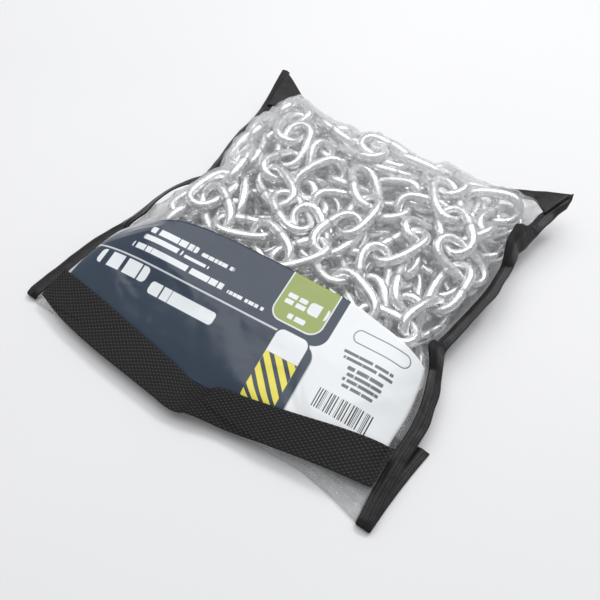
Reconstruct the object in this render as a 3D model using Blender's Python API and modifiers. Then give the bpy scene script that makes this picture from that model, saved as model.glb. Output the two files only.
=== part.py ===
"""Bagged heap of steel chain: a clear pouch full of loose chain links, bound in black tape, with a printed
sheet and a carrying strap over its near end. Metres, +Z up, resting on z = 0, strap end towards -Y."""

import bmesh
import bpy
import numpy as np

# The outline was measured in units of 0.81 mm, and every length below is in them
UNIT_MM = 0.81
UNIT = UNIT_MM * 0.001

# Puts the middle of the whole in plan at the origin
SHIFT = (4.0, 6.5, 0.0)

# Chain, 5/16 in trade size: 8.2 mm wire, 32.5 mm inside length, 29 mm outer width
WIRE = 8.2 / UNIT_MM
INSIDE_LENGTH = 32.5 / UNIT_MM
OUTER_WIDTH = 29.0 / UNIT_MM
BEND = OUTER_WIDTH / 2 - WIRE / 2
STRAIGHT = INSIDE_LENGTH + WIRE - 2 * BEND
SIDES = 8
LINK_STEP = INSIDE_LENGTH + 0.8
LINK_ROLL = 45.0
LINK_DEPTH = 16.4
RUN_ROWS = (-66.0, -34.7, -3.6, 27.4, 58.4, 89.2)
LAST_RUN_SHIFT = (0.0, 28.4, -9.8)
RUN_ENDS = ((-126, 130), (-118, 127), (-108, 132), (-108, 135), (-112, 136), (-116, 136), (-108, 126))
WAVE_HEIGHT = 4.0
WAVE_LENGTH = 160.0

# Pouch
FILM = 0.5
GAP = 0.5
TAPE_WIDTH = 12.0
TAPE_THICK = 1.8
FLAP_Y = -114.0

# The core: how far its top lies below the film, as y, depth, then its sections, the foot of its near step,
# and the height and spacing of its lumps
CORE_TOP = ((-66, 31.2), (-35, 30.7), (-4, 30.2), (27, 29.5), (58, 29.2), (89, 28.6), (118, 30.4))
CORE_ROWS = (
    -174, -160, -148, -136, -124, -111, -98, -85, -75, -65, -50, -35, -19, -4, 12, 27, 43, 58, 74, 89, 98, 108, 118,
)
CORE_STEP_Y = -90.0
CORE_LUMP = 8.0
CORE_LUMP_PITCH = (47.0, 62.0)

# Printed sheet and strap
SHEET = 0.5
SHEET_GAP = 0.95
SHEET_TOP_Y = -57.0
SHEET_LOW_Y = -178.0
STRAP_WIDTH = 38.0
STRAP_THICK = 1.9

# The pouch's edges at the tape, as y, x, z
LEFT_SEAM = (
    (-184, -171, 5.5), (-146, -166, 10), (-111, -160, 14), (-70, -148, 18), (-46, -146, 20), (-25, -142, 21),
    (-8, -135, 22), (7, -128, 23), (25, -129, 24), (57, -136, 25), (85, -140, 26), (126, -142, 27.5),
    (159, -149, 30),
)
RIGHT_SEAM = (
    (-184, 163, 5.5), (-158, 161, 9), (-128, 160, 12), (-106, 160, 14), (-85, 157, 16), (-62, 150, 19),
    (-40, 142, 20.5), (-17, 145, 22), (10, 149, 23), (38, 152, 24), (76, 151, 26), (100, 151, 27),
    (125, 153, 29), (159, 158, 33),
)
FAR_SEAM = ((-149, 159, 30), (-104, 138, 27), (-50, 134, 26), (0, 133, 26), (60, 134, 26), (96, 138, 27.5), (158, 159, 33))
NEAR_SEAM = ((-171, -184, 5.5), (-120, -186, 4.5), (0, -187, 4.5), (110, -186, 4.5), (163, -184, 5.5))
TIP_LEFT = (-169.0, 185.0, 32.0)
TIP_RIGHT = (172.0, 181.0, 37.0)

# Height of the front film along the middle, and how wide its shoulders are at each side, as y, mm
CROWN = ((-187, 4.5), (-181, 10), (-166, 15), (-150, 20), (-105, 36), (-57, 48), (0, 55.5), (60, 58.5), (105, 58), (135, 56))
SHOULDER_LEFT = ((-184, 70), (-100, 62), (-50, 46), (0, 36), (60, 44), (120, 62), (160, 70))
SHOULDER_RIGHT = ((-184, 60), (-100, 46), (-57, 34), (-36, 44), (60, 48), (110, 48), (160, 62))
SHOULDER_FAR = 36.0
FAR_PUSH = 12.0


def smooth_curve(points, at):
    """Catmull-Rom values of rows (key, value, value) at the keys asked for."""
    rows = np.asarray(points, float)
    key = rows[:, 0]
    slopes = np.gradient(rows[:, 1:], key, axis=0)
    at = np.clip(np.asarray(at, float), key[0], key[-1])
    i = np.clip(np.searchsorted(key, at, side="right") - 1, 0, len(key) - 2)
    width = key[i + 1] - key[i]
    t = ((at - key[i]) / width)[..., None]
    width = width[..., None]
    a, b = rows[i, 1:], rows[i + 1, 1:]
    return (
        (2 * t**3 - 3 * t**2 + 1) * a
        + (t**3 - 2 * t**2 + t) * width * slopes[i]
        + (3 * t**2 - 2 * t**3) * b
        + (t**3 - t**2) * width * slopes[i + 1]
    )


def side(points, v):
    """A side seam's points for v from 0 at the near end to 1 at the far end."""
    y = points[0][0] + v * (points[-1][0] - points[0][0])
    xz = smooth_curve(points, y)
    return np.stack([xz[..., 0], y, xz[..., 1]], -1)


def cross(points, u):
    """The near or far seam's points for u from 0 at the left to 1 at the right."""
    x = points[0][0] + u * (points[-1][0] - points[0][0])
    yz = smooth_curve(points, x)
    return np.stack([x, yz[..., 0], yz[..., 1]], -1)


def seam_patch(u, v):
    """The surface spanned by the four seams, before any bulge."""
    u, v = np.broadcast_arrays(np.asarray(u, float), np.asarray(v, float))
    a, b = side(LEFT_SEAM, v), side(RIGHT_SEAM, v)
    c, d = cross(NEAR_SEAM, u), cross(FAR_SEAM, u)
    u, v = u[..., None], v[..., None]
    corners = (
        (1 - u) * (1 - v) * side(LEFT_SEAM, np.zeros(1))
        + u * (1 - v) * side(RIGHT_SEAM, np.zeros(1))
        + (1 - u) * v * side(LEFT_SEAM, np.ones(1))
        + u * v * side(RIGHT_SEAM, np.ones(1))
    )
    return (1 - u) * a + u * b + (1 - v) * c + v * d - corners


def shoulder(reach):
    reach = np.clip(reach, 0, 1)
    return np.sqrt(np.maximum(1 - (1 - reach) ** 2, 0))


def rise(points, u, v):
    """How much of the full bulge there is at (u, v), from 0 on the seams to 1 over the heap."""
    x, y = points[..., 0], points[..., 1]
    left = side(LEFT_SEAM, v + 0 * u)[..., 0]
    right = side(RIGHT_SEAM, v + 0 * u)[..., 0]
    far = cross(FAR_SEAM, u + 0 * v)[..., 1]
    wide_left = np.interp(y, *np.transpose(SHOULDER_LEFT))
    wide_right = np.interp(y, *np.transpose(SHOULDER_RIGHT))
    return (
        shoulder((x - left) / wide_left)
        * shoulder((right - x) / wide_right)
        * shoulder((far - y) / SHOULDER_FAR)
    )


def front(u, v, push=True):
    """Points of the front film."""
    u, v = np.broadcast_arrays(np.asarray(u, float), np.asarray(v, float))
    p = seam_patch(u, v)
    amount = rise(p, u, v)
    crown = np.interp(p[..., 1], *np.transpose(CROWN))
    p[..., 2] += amount * np.maximum(crown - p[..., 2], 0)
    if push:
        near_far = np.clip((p[..., 1] - 95) / 30, 0, 1)
        p[..., 1] += FAR_PUSH * near_far * shoulder(1 - np.abs(2 * amount - 1)) * np.clip(1.7 * np.sin(np.pi * u), 0, 1)
    return p


def back(u, v):
    """Points of the back film: flat on the floor, turned up to the seams."""
    u, v = np.broadcast_arrays(np.asarray(u, float), np.asarray(v, float))
    p = seam_patch(u, v)
    left = p[..., 0] - side(LEFT_SEAM, v)[..., 0]
    right = side(RIGHT_SEAM, v)[..., 0] - p[..., 0]
    far = cross(FAR_SEAM, u)[..., 1] - p[..., 1]
    reach = np.minimum(np.minimum(left, right), far) / 34.0
    keep = 1 - shoulder(reach)
    flat = np.where(p[..., 1] < FLAP_Y + 6, 1.3, FILM / 2)
    p[..., 2] = flat + keep * np.maximum(p[..., 2] - flat, 0)
    return p


def locate(x, y):
    """The (u, v) of the front film over a plan point."""
    x, y = np.broadcast_arrays(np.asarray(x, float), np.asarray(y, float))
    u, v = (x + 160) / 320, (y + 184) / 330
    for _ in range(40):
        p = seam_patch(u, v)
        u = u + (x - p[..., 0]) / 320
        v = v + (y - p[..., 1]) / 340
    return u, v


def film_over(x, y):
    """The front film's height over a plan point, carried straight on beyond the near fold."""
    inside = np.maximum(y, -184.0)
    u, v = locate(x, inside)
    z = front(u, v, push=False)[..., 2]
    return z + (y - inside) * 0.55


def normal_over(x, y):
    step = 2.0
    dx = (film_over(x + step, y) - film_over(x - step, y)) / (2 * step)
    dy = (film_over(x, y + step) - film_over(x, y - step)) / (2 * step)
    n = np.stack([-dx, -dy, np.ones_like(dx)], -1)
    return n / np.linalg.norm(n, axis=-1, keepdims=True)


def new_object(name, points, faces, colour, rough, metal=0.0, clear=0.0):
    """An object of these points, with its own Principled material."""
    mesh = bpy.data.meshes.new(name)
    placed = (np.asarray(points, float) + SHIFT) * UNIT
    mesh.from_pydata([tuple(p) for p in placed], [], [tuple(f) for f in faces])
    mesh.validate()
    obj = bpy.data.objects.new(name, mesh)
    PART.objects.link(obj)
    material = bpy.data.materials.new(name)
    material.use_nodes = True
    shader = material.node_tree.nodes["Principled BSDF"]
    shader.inputs["Base Color"].default_value = (*colour, 1.0)
    shader.inputs["Roughness"].default_value = rough
    shader.inputs["Metallic"].default_value = metal
    shader.inputs["Transmission Weight"].default_value = clear
    mesh.materials.append(material)
    return obj


def grid_faces(rows, columns):
    return [
        (r * columns + c, r * columns + c + 1, (r + 1) * columns + c + 1, (r + 1) * columns + c)
        for r in range(rows - 1)
        for c in range(columns - 1)
    ]


def thicken(obj, thickness, offset):
    solid = obj.modifiers.new("thickness", "SOLIDIFY")
    solid.thickness = thickness * UNIT
    solid.offset = offset
    solid.use_even_offset = False
    return obj


def closed_slab(name, top, bottom, **look):
    """A closed body between two grids of the same size."""
    rows, columns = top.shape[:2]
    count = rows * columns
    faces = grid_faces(rows, columns)
    under = [tuple(count + i for i in reversed(face)) for face in faces]
    rim = (
        [c for c in range(columns)]
        + [r * columns + columns - 1 for r in range(1, rows)]
        + [(rows - 1) * columns + c for c in range(columns - 2, -1, -1)]
        + [r * columns for r in range(rows - 2, 0, -1)]
    )
    walls = [(b, a, count + a, count + b) for a, b in zip(rim, rim[1:] + rim[:1])]
    points = np.concatenate([top.reshape(-1, 3), bottom.reshape(-1, 3)])
    return new_object(name, points, faces + under + walls, **look)


def ribbon(name, centre, across, width, thick, ends=(None, None), **look):
    """A flat band along a line of centres, across holding the direction of its width at each."""
    centre = np.asarray(centre, float)
    across = np.asarray(across, float)
    across /= np.linalg.norm(across, axis=1, keepdims=True)
    along = np.gradient(centre, axis=0)
    up = np.cross(along, across)
    up /= np.linalg.norm(up, axis=1, keepdims=True)
    half = across * width / 2
    rows = [centre - half, centre + half]
    for end, index in zip(ends, (0, -1)):
        if end is not None:
            rows[0][index], rows[1][index] = end
    top = np.stack([r + up * thick / 2 for r in rows], 1)
    bottom = np.stack([r - up * thick / 2 for r in rows], 1)
    return closed_slab(name, top, bottom, **look)


# The pouch's films share one grid, so that what lies on them keeps its gap
COLUMNS = np.array([0, 0.03, 0.07, 0.12, 0.19, 0.28, 0.39, 0.5, 0.61, 0.72, 0.81, 0.88, 0.93, 0.97, 1.0])
ROWS = np.array([0, 0.02, 0.06, 0.12, 0.21, 0.31, 0.41, 0.5, 0.59, 0.68, 0.77, 0.85, 0.9, 0.935, 0.96, 0.98, 1.0])
CLEAR = dict(colour=(0.92, 0.94, 0.95), rough=0.08, clear=1.0)
BLACK = dict(colour=(0.012, 0.012, 0.013), rough=0.6)


BACK_ROWS = np.array([0.018, 0.06, 0.12, 0.2, 0.225, 0.245, 0.35, 0.5, 0.65, 0.77, 0.85, 0.9, 0.935, 0.965, 0.99])


def grid_of(surface):
    v, u = np.meshgrid(ROWS, COLUMNS, indexing="ij")
    return surface(u, v)


def grid_normals(points):
    across = np.gradient(points, axis=1)
    along = np.gradient(points, axis=0)
    n = np.cross(across, along)
    return n / np.linalg.norm(n, axis=-1, keepdims=True)


def on_grid(values, u, v):
    """Values between the points of the films' grid, straight from one to the next."""
    i = np.clip(np.searchsorted(COLUMNS, u, side="right") - 1, 0, len(COLUMNS) - 2)
    j = np.clip(np.searchsorted(ROWS, v, side="right") - 1, 0, len(ROWS) - 2)
    s = ((u - COLUMNS[i]) / (COLUMNS[i + 1] - COLUMNS[i]))[..., None]
    t = ((v - ROWS[j]) / (ROWS[j + 1] - ROWS[j]))[..., None]
    near = (1 - s) * values[j, i] + s * values[j, i + 1]
    far = (1 - s) * values[j + 1, i] + s * values[j + 1, i + 1]
    return (1 - t) * near + t * far


def row_at(u, y):
    """The v at which each u meets a plan y."""
    v = (y + 184) / 330 + 0 * u
    for _ in range(40):
        v = v + (y - seam_patch(u, v)[..., 1]) / 335
    return v


def make_films():
    top = grid_of(front)
    # The mouth end wraps round the near fold and runs back under the pouch.
    turn = []
    for y, z in ((-188.6, 2.4), (-187.0, 0.6), (-183.0, FILM / 2), (-150.0, FILM / 2), (FLAP_Y, FILM / 2)):
        row = front(COLUMNS, 0 * COLUMNS)
        bow = row[:, 1] + 184.0
        row[:, 1] = y + bow * (1 if y < -180 else 0)
        row[:, 2] = z
        turn.append(row)
    rows = np.concatenate([np.array(turn[::-1]), top])
    sheet = new_object("film_front", rows.reshape(-1, 3), grid_faces(*rows.shape[:2]), **CLEAR)
    thicken(sheet, FILM, 0.0)
    v, u = np.meshgrid(BACK_ROWS, 0.004 + 0.992 * COLUMNS, indexing="ij")
    low = back(u, v)
    above = front(u, v)[..., 2] - 0.9
    low[..., 2] = np.minimum(low[..., 2], above)
    sheet = new_object("film_back", low.reshape(-1, 3), grid_faces(*low.shape[:2]), **CLEAR)
    thicken(sheet, FILM, 0.0)


def make_tapes():
    reach = GAP + TAPE_WIDTH / 2
    for name, seam, tip, turn in (("binding_left", LEFT_SEAM, TIP_LEFT, -1), ("binding_right", RIGHT_SEAM, TIP_RIGHT, 1)):
        v = ROWS
        inner = side(seam, v)
        along = np.gradient(inner, axis=0)
        out = np.stack([along[:, 1], -along[:, 0], 0 * v], 1) * turn
        out /= np.linalg.norm(out, axis=1, keepdims=True)
        centre = inner + out * reach
        # The near end folds under and runs back beneath the pouch.
        x = centre[0, 0]
        under_x = [x + turn * step for step in (0.1, 0.2, 0.4, 1.2, 3.8, 6.5)]
        under = [
            (under_x[0], -187.6, 4.6), (under_x[1], -187.6, 2.3), (under_x[2], -184.0, 0.9),
            (under_x[3], -158.0, 0.9), (under_x[4], -130.0, 0.9), (under_x[5], -112.0, 0.9),
        ]
        centre = np.concatenate([np.array(under[::-1]), centre])
        out = np.concatenate([np.repeat([[float(turn), 0, 0]], len(under), 0), out])
        corner = inner[-1]
        tip_end = (np.array(tip), corner + out[-1] * GAP) if turn < 0 else (corner + out[-1] * GAP, np.array(tip))
        width = out * turn
        ribbon(name, centre, width, TAPE_WIDTH, TAPE_THICK, ends=(None, tip_end), **BLACK)


def link_mesh():
    """Points and faces of one link, its length along X and its flat side facing Z."""
    turns = np.radians([0, 45, 90, 135, 180])
    ends = [(STRAIGHT / 2 + BEND * np.sin(a), BEND * np.cos(a)) for a in turns]
    line = ends + [(-x, -y) for x, y in ends]
    points, faces = [], []
    count = len(line)
    for i, (x, y) in enumerate(line):
        before, after = np.array(line[i - 1]), np.array(line[(i + 1) % count])
        along = after - before
        along /= np.linalg.norm(along)
        outward = np.array([-along[1], along[0]])
        for k in range(SIDES):
            a = 2 * np.pi * k / SIDES
            points.append((*(np.array([x, y]) + outward * np.cos(a) * WIRE / 2), np.sin(a) * WIRE / 2))
    for i in range(count):
        for k in range(SIDES):
            j, m = (i + 1) % count, (k + 1) % SIDES
            faces.append((i * SIDES + k, j * SIDES + k, j * SIDES + m, i * SIDES + m))
    return np.array(points), faces


def row_path(y0, x0, x1):
    """Points 1 mm apart along a row, a fixed depth below the film."""
    x = np.linspace(x0, x1, 600)
    y = y0 + WAVE_HEIGHT * np.sin(2 * np.pi * (x + 30) / WAVE_LENGTH) * np.clip((118 - y0) / 60, 0, 1)
    top = np.stack([x, y, film_over(x, y)], -1)
    n = normal_over(x, y)
    return top - n * LINK_DEPTH, n


def make_runs():
    points, faces = link_mesh()
    rows = [(y0, (0, 0, 0)) for y0 in RUN_ROWS] + [(RUN_ROWS[-1], LAST_RUN_SHIFT)]
    for number, ((y0, shift), (x0, x1)) in enumerate(zip(rows, RUN_ENDS), 1):
        line, normals = row_path(y0, x0, x1)
        line = line + shift
        steps = np.linalg.norm(np.diff(line, axis=0), axis=1)
        spare = steps.sum() % LINK_STEP
        first = np.searchsorted(np.cumsum(steps), spare * 0.45)
        joints, lean = [line[first]], [normals[first]]
        for p, n in zip(line[first:], normals[first:]):
            if np.linalg.norm(p - joints[-1]) >= LINK_STEP:
                joints.append(p)
                lean.append(n)
        pieces = []
        for k in range(len(joints) - 1):
            along = joints[k + 1] - joints[k]
            along /= np.linalg.norm(along)
            up = lean[k] + lean[k + 1]
            up -= along * (up @ along)
            up /= np.linalg.norm(up)
            across = np.cross(up, along)
            roll = np.radians(LINK_ROLL if k % 2 else -LINK_ROLL)
            y_axis = across * np.cos(roll) + up * np.sin(roll)
            z_axis = np.cross(along, y_axis)
            place = (joints[k] + joints[k + 1]) / 2
            pieces.append(place + points @ np.stack([along, y_axis, z_axis]))
        steel = dict(colour=(0.62, 0.63, 0.64), rough=0.3, metal=1.0)
        run = new_object(f"chain_run_{number:02d}", pieces[0], faces, **steel)
        for k, extra in enumerate(pieces[1:], 1):
            cutter = new_object(f"chain_run_{number:02d}_link_{k:02d}", extra, faces, **steel)
            cutter.hide_render = True
            cutter.display_type = "WIRE"
            join = run.modifiers.new(f"link {k}", "BOOLEAN")
            join.operation = "UNION"
            join.solver = "EXACT"
            join.object = cutter


def make_core():
    """The links that nothing shows, as one lumpy body under the runs and the printed sheet."""
    u = np.concatenate([COLUMNS[1:3], np.linspace(COLUMNS[3], COLUMNS[-4], 25), COLUMNS[-3:-1]])
    film_u = 0.004 + 0.992 * COLUMNS
    edge = np.minimum(u, 1 - u)
    rows = []
    for y in CORE_ROWS:
        v = row_at(u, y)
        top = front(u, v, push=False)
        low = back(0.004 + 0.992 * u, v)
        floor = np.interp(u, film_u, on_grid_back(film_u, row_at(film_u, y)))
        low[:, 2] = np.maximum(floor, low[:, 2]) + FILM / 2 + GAP
        low[:, 2] += np.interp(edge, (0.03, 0.07, 0.2), (3.2, 1.6, 0.2))
        lean = normal_over(top[:, 0], top[:, 1])[:, 2]
        deep = np.interp(y, *np.transpose(CORE_TOP))
        depth = 4.4 if y < CORE_STEP_Y else deep / lean + np.interp(edge, (0.12, 0.25), (4.0, 0.0))
        top[:, 2] = np.maximum(top[:, 2] - depth - np.interp(y, (84, 104), (0.0, 6.0)), low[:, 2] + 1.2)
        # Hollows between the lumps, above and below, where the body is thick enough for them
        turn = 2 * np.pi / np.array(CORE_LUMP_PITCH)
        hollow = 0.5 - 0.5 * np.cos(turn[0] * top[:, 0]) * np.cos(turn[1] * (y - RUN_ROWS[2]))
        room = np.maximum(top[:, 2] - low[:, 2], 0)
        hollow = np.minimum(CORE_LUMP, room / 3) * hollow
        low[:, 2] += hollow
        top[:, 2] -= hollow * (0.4 if y < CORE_STEP_Y else 0.8)
        low[:, :2] = top[:, :2]
        rows.append((top, low))
    top, low = (np.array([pair[k] for pair in rows]) for k in (0, 1))
    closed_slab("chain_core", top, low, colour=(0.4, 0.41, 0.42), rough=0.4, metal=1.0)


def on_grid_back(u, v):
    """The back film's height, straight from one grid point to the next."""
    heights = []
    for column, row in zip(u, v):
        j = np.clip(np.searchsorted(BACK_ROWS, row, side="right") - 1, 0, len(BACK_ROWS) - 2)
        ends = back(np.array([column, column]), BACK_ROWS[j : j + 2])[:, 2]
        t = np.clip((row - BACK_ROWS[j]) / (BACK_ROWS[j + 1] - BACK_ROWS[j]), 0, 1)
        heights.append(ends[0] + t * (ends[1] - ends[0]))
    return np.array(heights)


def make_sheet():
    u = np.concatenate([[0.015], COLUMNS[1:-1], [0.985]])
    film = grid_of(front)
    normals = grid_normals(film)
    rows = []
    for share in np.linspace(0, 1, 9):
        y = SHEET_LOW_Y + share * (SHEET_TOP_Y - SHEET_LOW_Y)
        v = row_at(u, y)
        rows.append(on_grid(film, u, v) + on_grid(normals, u, v) * (FILM / 2 + SHEET_GAP + SHEET / 2))
    rows = np.array(rows)
    sheet = new_object("label_panel", rows.reshape(-1, 3), grid_faces(*rows.shape[:2]), colour=(0.02, 0.03, 0.07), rough=0.25)
    thicken(sheet, SHEET, 0.0)


def make_strap():
    """The strap lies across the sheet's lower edge, from tape to tape, its middle sagging past the fold."""
    x = np.array([-165.5, -159, -150, -120, -80, -40, 0, 40, 80, 110, 135, 151, 159.5])
    low = np.interp(x, (-174, -150, -70, 0, 41, 105, 148, 167), (-182, -183, -192, -198, -189, -176, -168, -164))
    rows = []
    for t in np.linspace(0, 1, 6):
        y = low + t * STRAP_WIDTH * np.interp(x, (-174, -60, 0, 60, 167), (0.93, 0.85, 0.78, 0.85, 0.93))
        inside = np.clip(x, -162, 153)
        z = film_over(inside, y) + FILM / 2 + SHEET_GAP + SHEET + 1.5 + STRAP_THICK / 2
        rows.append(np.stack([x + 0 * y, y, z], -1))
    rows = np.array(rows)
    strap = new_object("handle_strap", rows.reshape(-1, 3), grid_faces(*rows.shape[:2]), colour=(0.02, 0.02, 0.022), rough=0.85)
    thicken(strap, STRAP_THICK, 0.0)


def make_far_tape():
    u = np.linspace(0, 1, 15)
    inner = cross(FAR_SEAM, u)
    along = np.gradient(inner, axis=0)
    out = np.stack([-along[:, 1], along[:, 0], 0 * u], 1)
    out /= np.linalg.norm(out, axis=1, keepdims=True)
    centre = inner + out * (GAP + TAPE_WIDTH / 2) - (0, 0, 1.0)
    left = (inner[0] + out[0] * GAP, np.array(TIP_LEFT) + (0.9, 0.3, 0.0))
    right = (inner[-1] + out[-1] * GAP, np.array(TIP_RIGHT) + (-0.9, 0.3, 0.0))
    ribbon("binding_far", centre, out, TAPE_WIDTH, TAPE_THICK, ends=(left, right), **BLACK)


def face_outwards():
    """Turns each mesh's normals out."""
    for obj in PART.objects:
        mesh = bmesh.new()
        mesh.from_mesh(obj.data)
        bmesh.ops.recalc_face_normals(mesh, faces=mesh.faces)
        mesh.to_mesh(obj.data)
        mesh.free()


for old in list(bpy.data.objects):
    bpy.data.objects.remove(old)
PART = bpy.data.collections.new("bagged_heap_of_steel_chain")
bpy.context.scene.collection.children.link(PART)
make_films()
make_tapes()
make_far_tape()
make_runs()
make_core()
make_sheet()
make_strap()
face_outwards()
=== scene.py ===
"""Dresses the bagged heap of steel chain: settles the links into a heap, drapes the clear film over them,
prints the sheet, weaves the strap and binds the edges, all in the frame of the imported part."""

import functools
import itertools
import math

import bmesh
import bpy
import numpy as np
from mathutils import Matrix, Vector


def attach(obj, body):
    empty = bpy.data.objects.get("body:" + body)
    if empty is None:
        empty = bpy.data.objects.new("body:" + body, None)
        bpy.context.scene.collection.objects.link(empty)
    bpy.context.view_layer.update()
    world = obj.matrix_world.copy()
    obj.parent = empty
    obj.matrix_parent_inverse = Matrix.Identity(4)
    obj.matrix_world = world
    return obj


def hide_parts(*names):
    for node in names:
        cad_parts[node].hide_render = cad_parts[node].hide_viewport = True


bl_info = {
    "name": "Bagged Heap of Steel Chain",
    "version": (1, 0, 0),
    "blender": (4, 5, 0),
    "location": "3D View > Sidebar > Chain Bag",
    "description": "Chain links settled in a clear pouch with taped edges, a printed sheet and a strap",
    "category": "Add Mesh",
}

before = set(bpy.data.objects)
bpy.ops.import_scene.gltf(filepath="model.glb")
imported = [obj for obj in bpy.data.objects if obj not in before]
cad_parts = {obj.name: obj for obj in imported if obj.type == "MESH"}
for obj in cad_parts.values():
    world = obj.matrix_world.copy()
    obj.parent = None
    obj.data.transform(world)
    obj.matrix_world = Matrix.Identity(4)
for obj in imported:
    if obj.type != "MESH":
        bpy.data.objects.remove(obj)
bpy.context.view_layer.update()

# The outline was measured in units of 0.81 mm, and every length below is in them unless it says otherwise
UNIT_MM = 0.81
UNIT = UNIT_MM * 0.001
SHIFT = np.array((4.0, 6.5, 0.0))

# Chain, 5/16 in trade size: 8.2 mm wire, 32.5 mm inside length, 29 mm outer width
WIRE = 8.2 / UNIT_MM
RADIUS = WIRE / 2
INSIDE_LENGTH = 32.5 / UNIT_MM
OUTER_WIDTH = 29.0 / UNIT_MM
BEND = OUTER_WIDTH / 2 - RADIUS
STRAIGHT = INSIDE_LENGTH + WIRE - 2 * BEND

# Pouch, printed sheet and strap
FILM = 0.5
GAP = 0.5
TAPE_WIDTH = 12.0
TAPE_THICK = 1.8
FLAP_Y = -114.0
SHEET_GAP = 0.95
SHEET_TOP_Y = -57.0
SHEET_MM = 0.2
STRAP_WIDTH = 38.0
STRAP_THICK = 1.9

# The pouch's edges at the tape, as y, x, z
LEFT_SEAM = (
    (-184, -171, 5.5), (-146, -166, 10), (-111, -160, 14), (-70, -148, 18), (-46, -146, 20), (-25, -142, 21),
    (-8, -135, 22), (7, -128, 23), (25, -129, 24), (57, -136, 25), (85, -140, 26), (126, -142, 27.5),
    (159, -149, 30),
)
RIGHT_SEAM = (
    (-184, 163, 5.5), (-158, 161, 9), (-128, 160, 12), (-106, 160, 14), (-85, 157, 16), (-62, 150, 19),
    (-40, 142, 20.5), (-17, 145, 22), (10, 149, 23), (38, 152, 24), (76, 151, 26), (100, 151, 27),
    (125, 153, 29), (159, 158, 33),
)

# Its far and near seams, as x, y, z, and the tips of its ears
FAR_SEAM = (
    (-149, 159, 30), (-104, 138, 27), (-50, 134, 26), (0, 133, 26), (60, 134, 26), (96, 138, 27.5),
    (158, 159, 33),
)
NEAR_SEAM = ((-171, -184, 5.5), (-120, -186, 4.5), (0, -187, 4.5), (110, -186, 4.5), (163, -184, 5.5))
TIP_LEFT = np.array((-169.0, 185.0, 32.0))
TIP_RIGHT = np.array((172.0, 176.0, 37.0))

# Height of the front film along the middle, as y, z, and how wide its shoulders are, as y, width
CROWN = (
    (-187, 4.5), (-181, 10), (-166, 15), (-150, 20), (-105, 36), (-57, 48), (0, 55.5), (60, 58.5), (105, 58),
    (135, 56),
)
SHOULDER_LEFT = ((-184, 70), (-100, 62), (-50, 46), (0, 34), (60, 40), (120, 48), (160, 60))
SHOULDER_RIGHT = ((-184, 60), (-100, 46), (-50, 30), (0, 26), (60, 26), (110, 36), (160, 60))
SHOULDER_FAR = 30.0

# How far the heap pushes the film out at its far end, and from which y over which length
FAR_PUSH = 12.0
PUSH_RAMP = (95, 30)

# How near its corner each ear is pressed flat, and over which length the films part again
EAR_LEFT = 32.0
EAR_RIGHT = 11.0
EAR_SPREAD = 14

# How wide a rim of the back film turns up round the heap, and how far the rim swells out past which y
SIDE_RISE = 12.0
SIDE_BELLY = 6.0
BELLY_RAMP = (-150, 60)

# Height of the back film over the folded flap, and the room between the films in the ears
FLAP_TOP = 1.3
EAR_ROOM = 0.7

# How far the near end is drawn in, as x, distance, and from which y over which length
TUCK = ((-171, 4), (-120, 6), (0, 8), (60, 10), (110, 12), (140, 8), (163, 2))
TUCK_RAMP = (-148, -36)

# The front film's near end and its slope there, and rough sizes of the plan that start a search on the film
NEAR_Y = -184.0
NEAR_SLOPE = 0.55
PLAN_WIDE, PLAN_LONG = 320, 330
SEARCH_STEPS = 40

# Grids of the films and of the sheet on them
FILM_COLUMNS = 190
FILM_ROWS = 200
FOLD_ROWS = 30
BACK_COLUMNS = 130
SHEET_COLUMNS = 150
SHEET_ROWS = 60


# Lines and shares
def linear(code):
    """An sRGB hex colour as linear red, green, blue and alpha."""
    parts = [int(code[i : i + 2], 16) / 255 for i in (1, 3, 5)]
    return (*[p / 12.92 if p <= 0.04045 else ((p + 0.055) / 1.055) ** 2.4 for p in parts], 1.0)


def metres(points):
    """Plan points as places in the part's frame."""
    return (np.asarray(points, float) + SHIFT) * UNIT


def unit(vectors):
    """The vectors made one long."""
    return vectors / np.maximum(np.linalg.norm(vectors, axis=-1, keepdims=True), 1e-9)


def run_along(line):
    """The way covered along a line at each of its points."""
    return np.r_[0, np.cumsum(np.linalg.norm(np.diff(line, axis=0), axis=1))]


def ramp(value, start, length):
    """A share that goes from 0 at the start to 1 a length further on, or back if the length is negative."""
    return np.clip((value - start) / length, 0, 1)


def eased(share):
    """A share with its way from 0 to 1 rounded off at both ends."""
    return share * share * (3 - 2 * share)


def read_off(table, at):
    """Values of a table with rows (key, value), straight from one key to the next."""
    return np.interp(at, *np.transpose(table))


def smooth_curve(points, at):
    """Values of rows (key, value, value) at the keys asked for, on a smooth curve through all of them."""
    rows = np.asarray(points, float)
    key = rows[:, 0]
    slopes = np.gradient(rows[:, 1:], key, axis=0)
    at = np.clip(np.asarray(at, float), key[0], key[-1])
    i = np.clip(np.searchsorted(key, at, side="right") - 1, 0, len(key) - 2)
    width = key[i + 1] - key[i]
    t = ((at - key[i]) / width)[..., None]
    width = width[..., None]
    a, b = rows[i, 1:], rows[i + 1, 1:]
    return (
        (2 * t**3 - 3 * t**2 + 1) * a
        + (t**3 - 2 * t**2 + t) * width * slopes[i]
        + (3 * t**2 - 2 * t**3) * b
        + (t**3 - t**2) * width * slopes[i + 1]
    )


def waves(seed, at, pitch, count=7):
    """A smooth random line with humps about pitch apart, between -1 and 1."""
    rng = np.random.default_rng(seed)
    total = 0 * at
    for k in range(count):
        swing = 2 * np.pi * at / pitch * rng.uniform(0.6, 1.6) + rng.uniform(0, 6.28)
        total = total + np.sin(swing) / (1 + 0.25 * k)
    return total / 3.2


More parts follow.
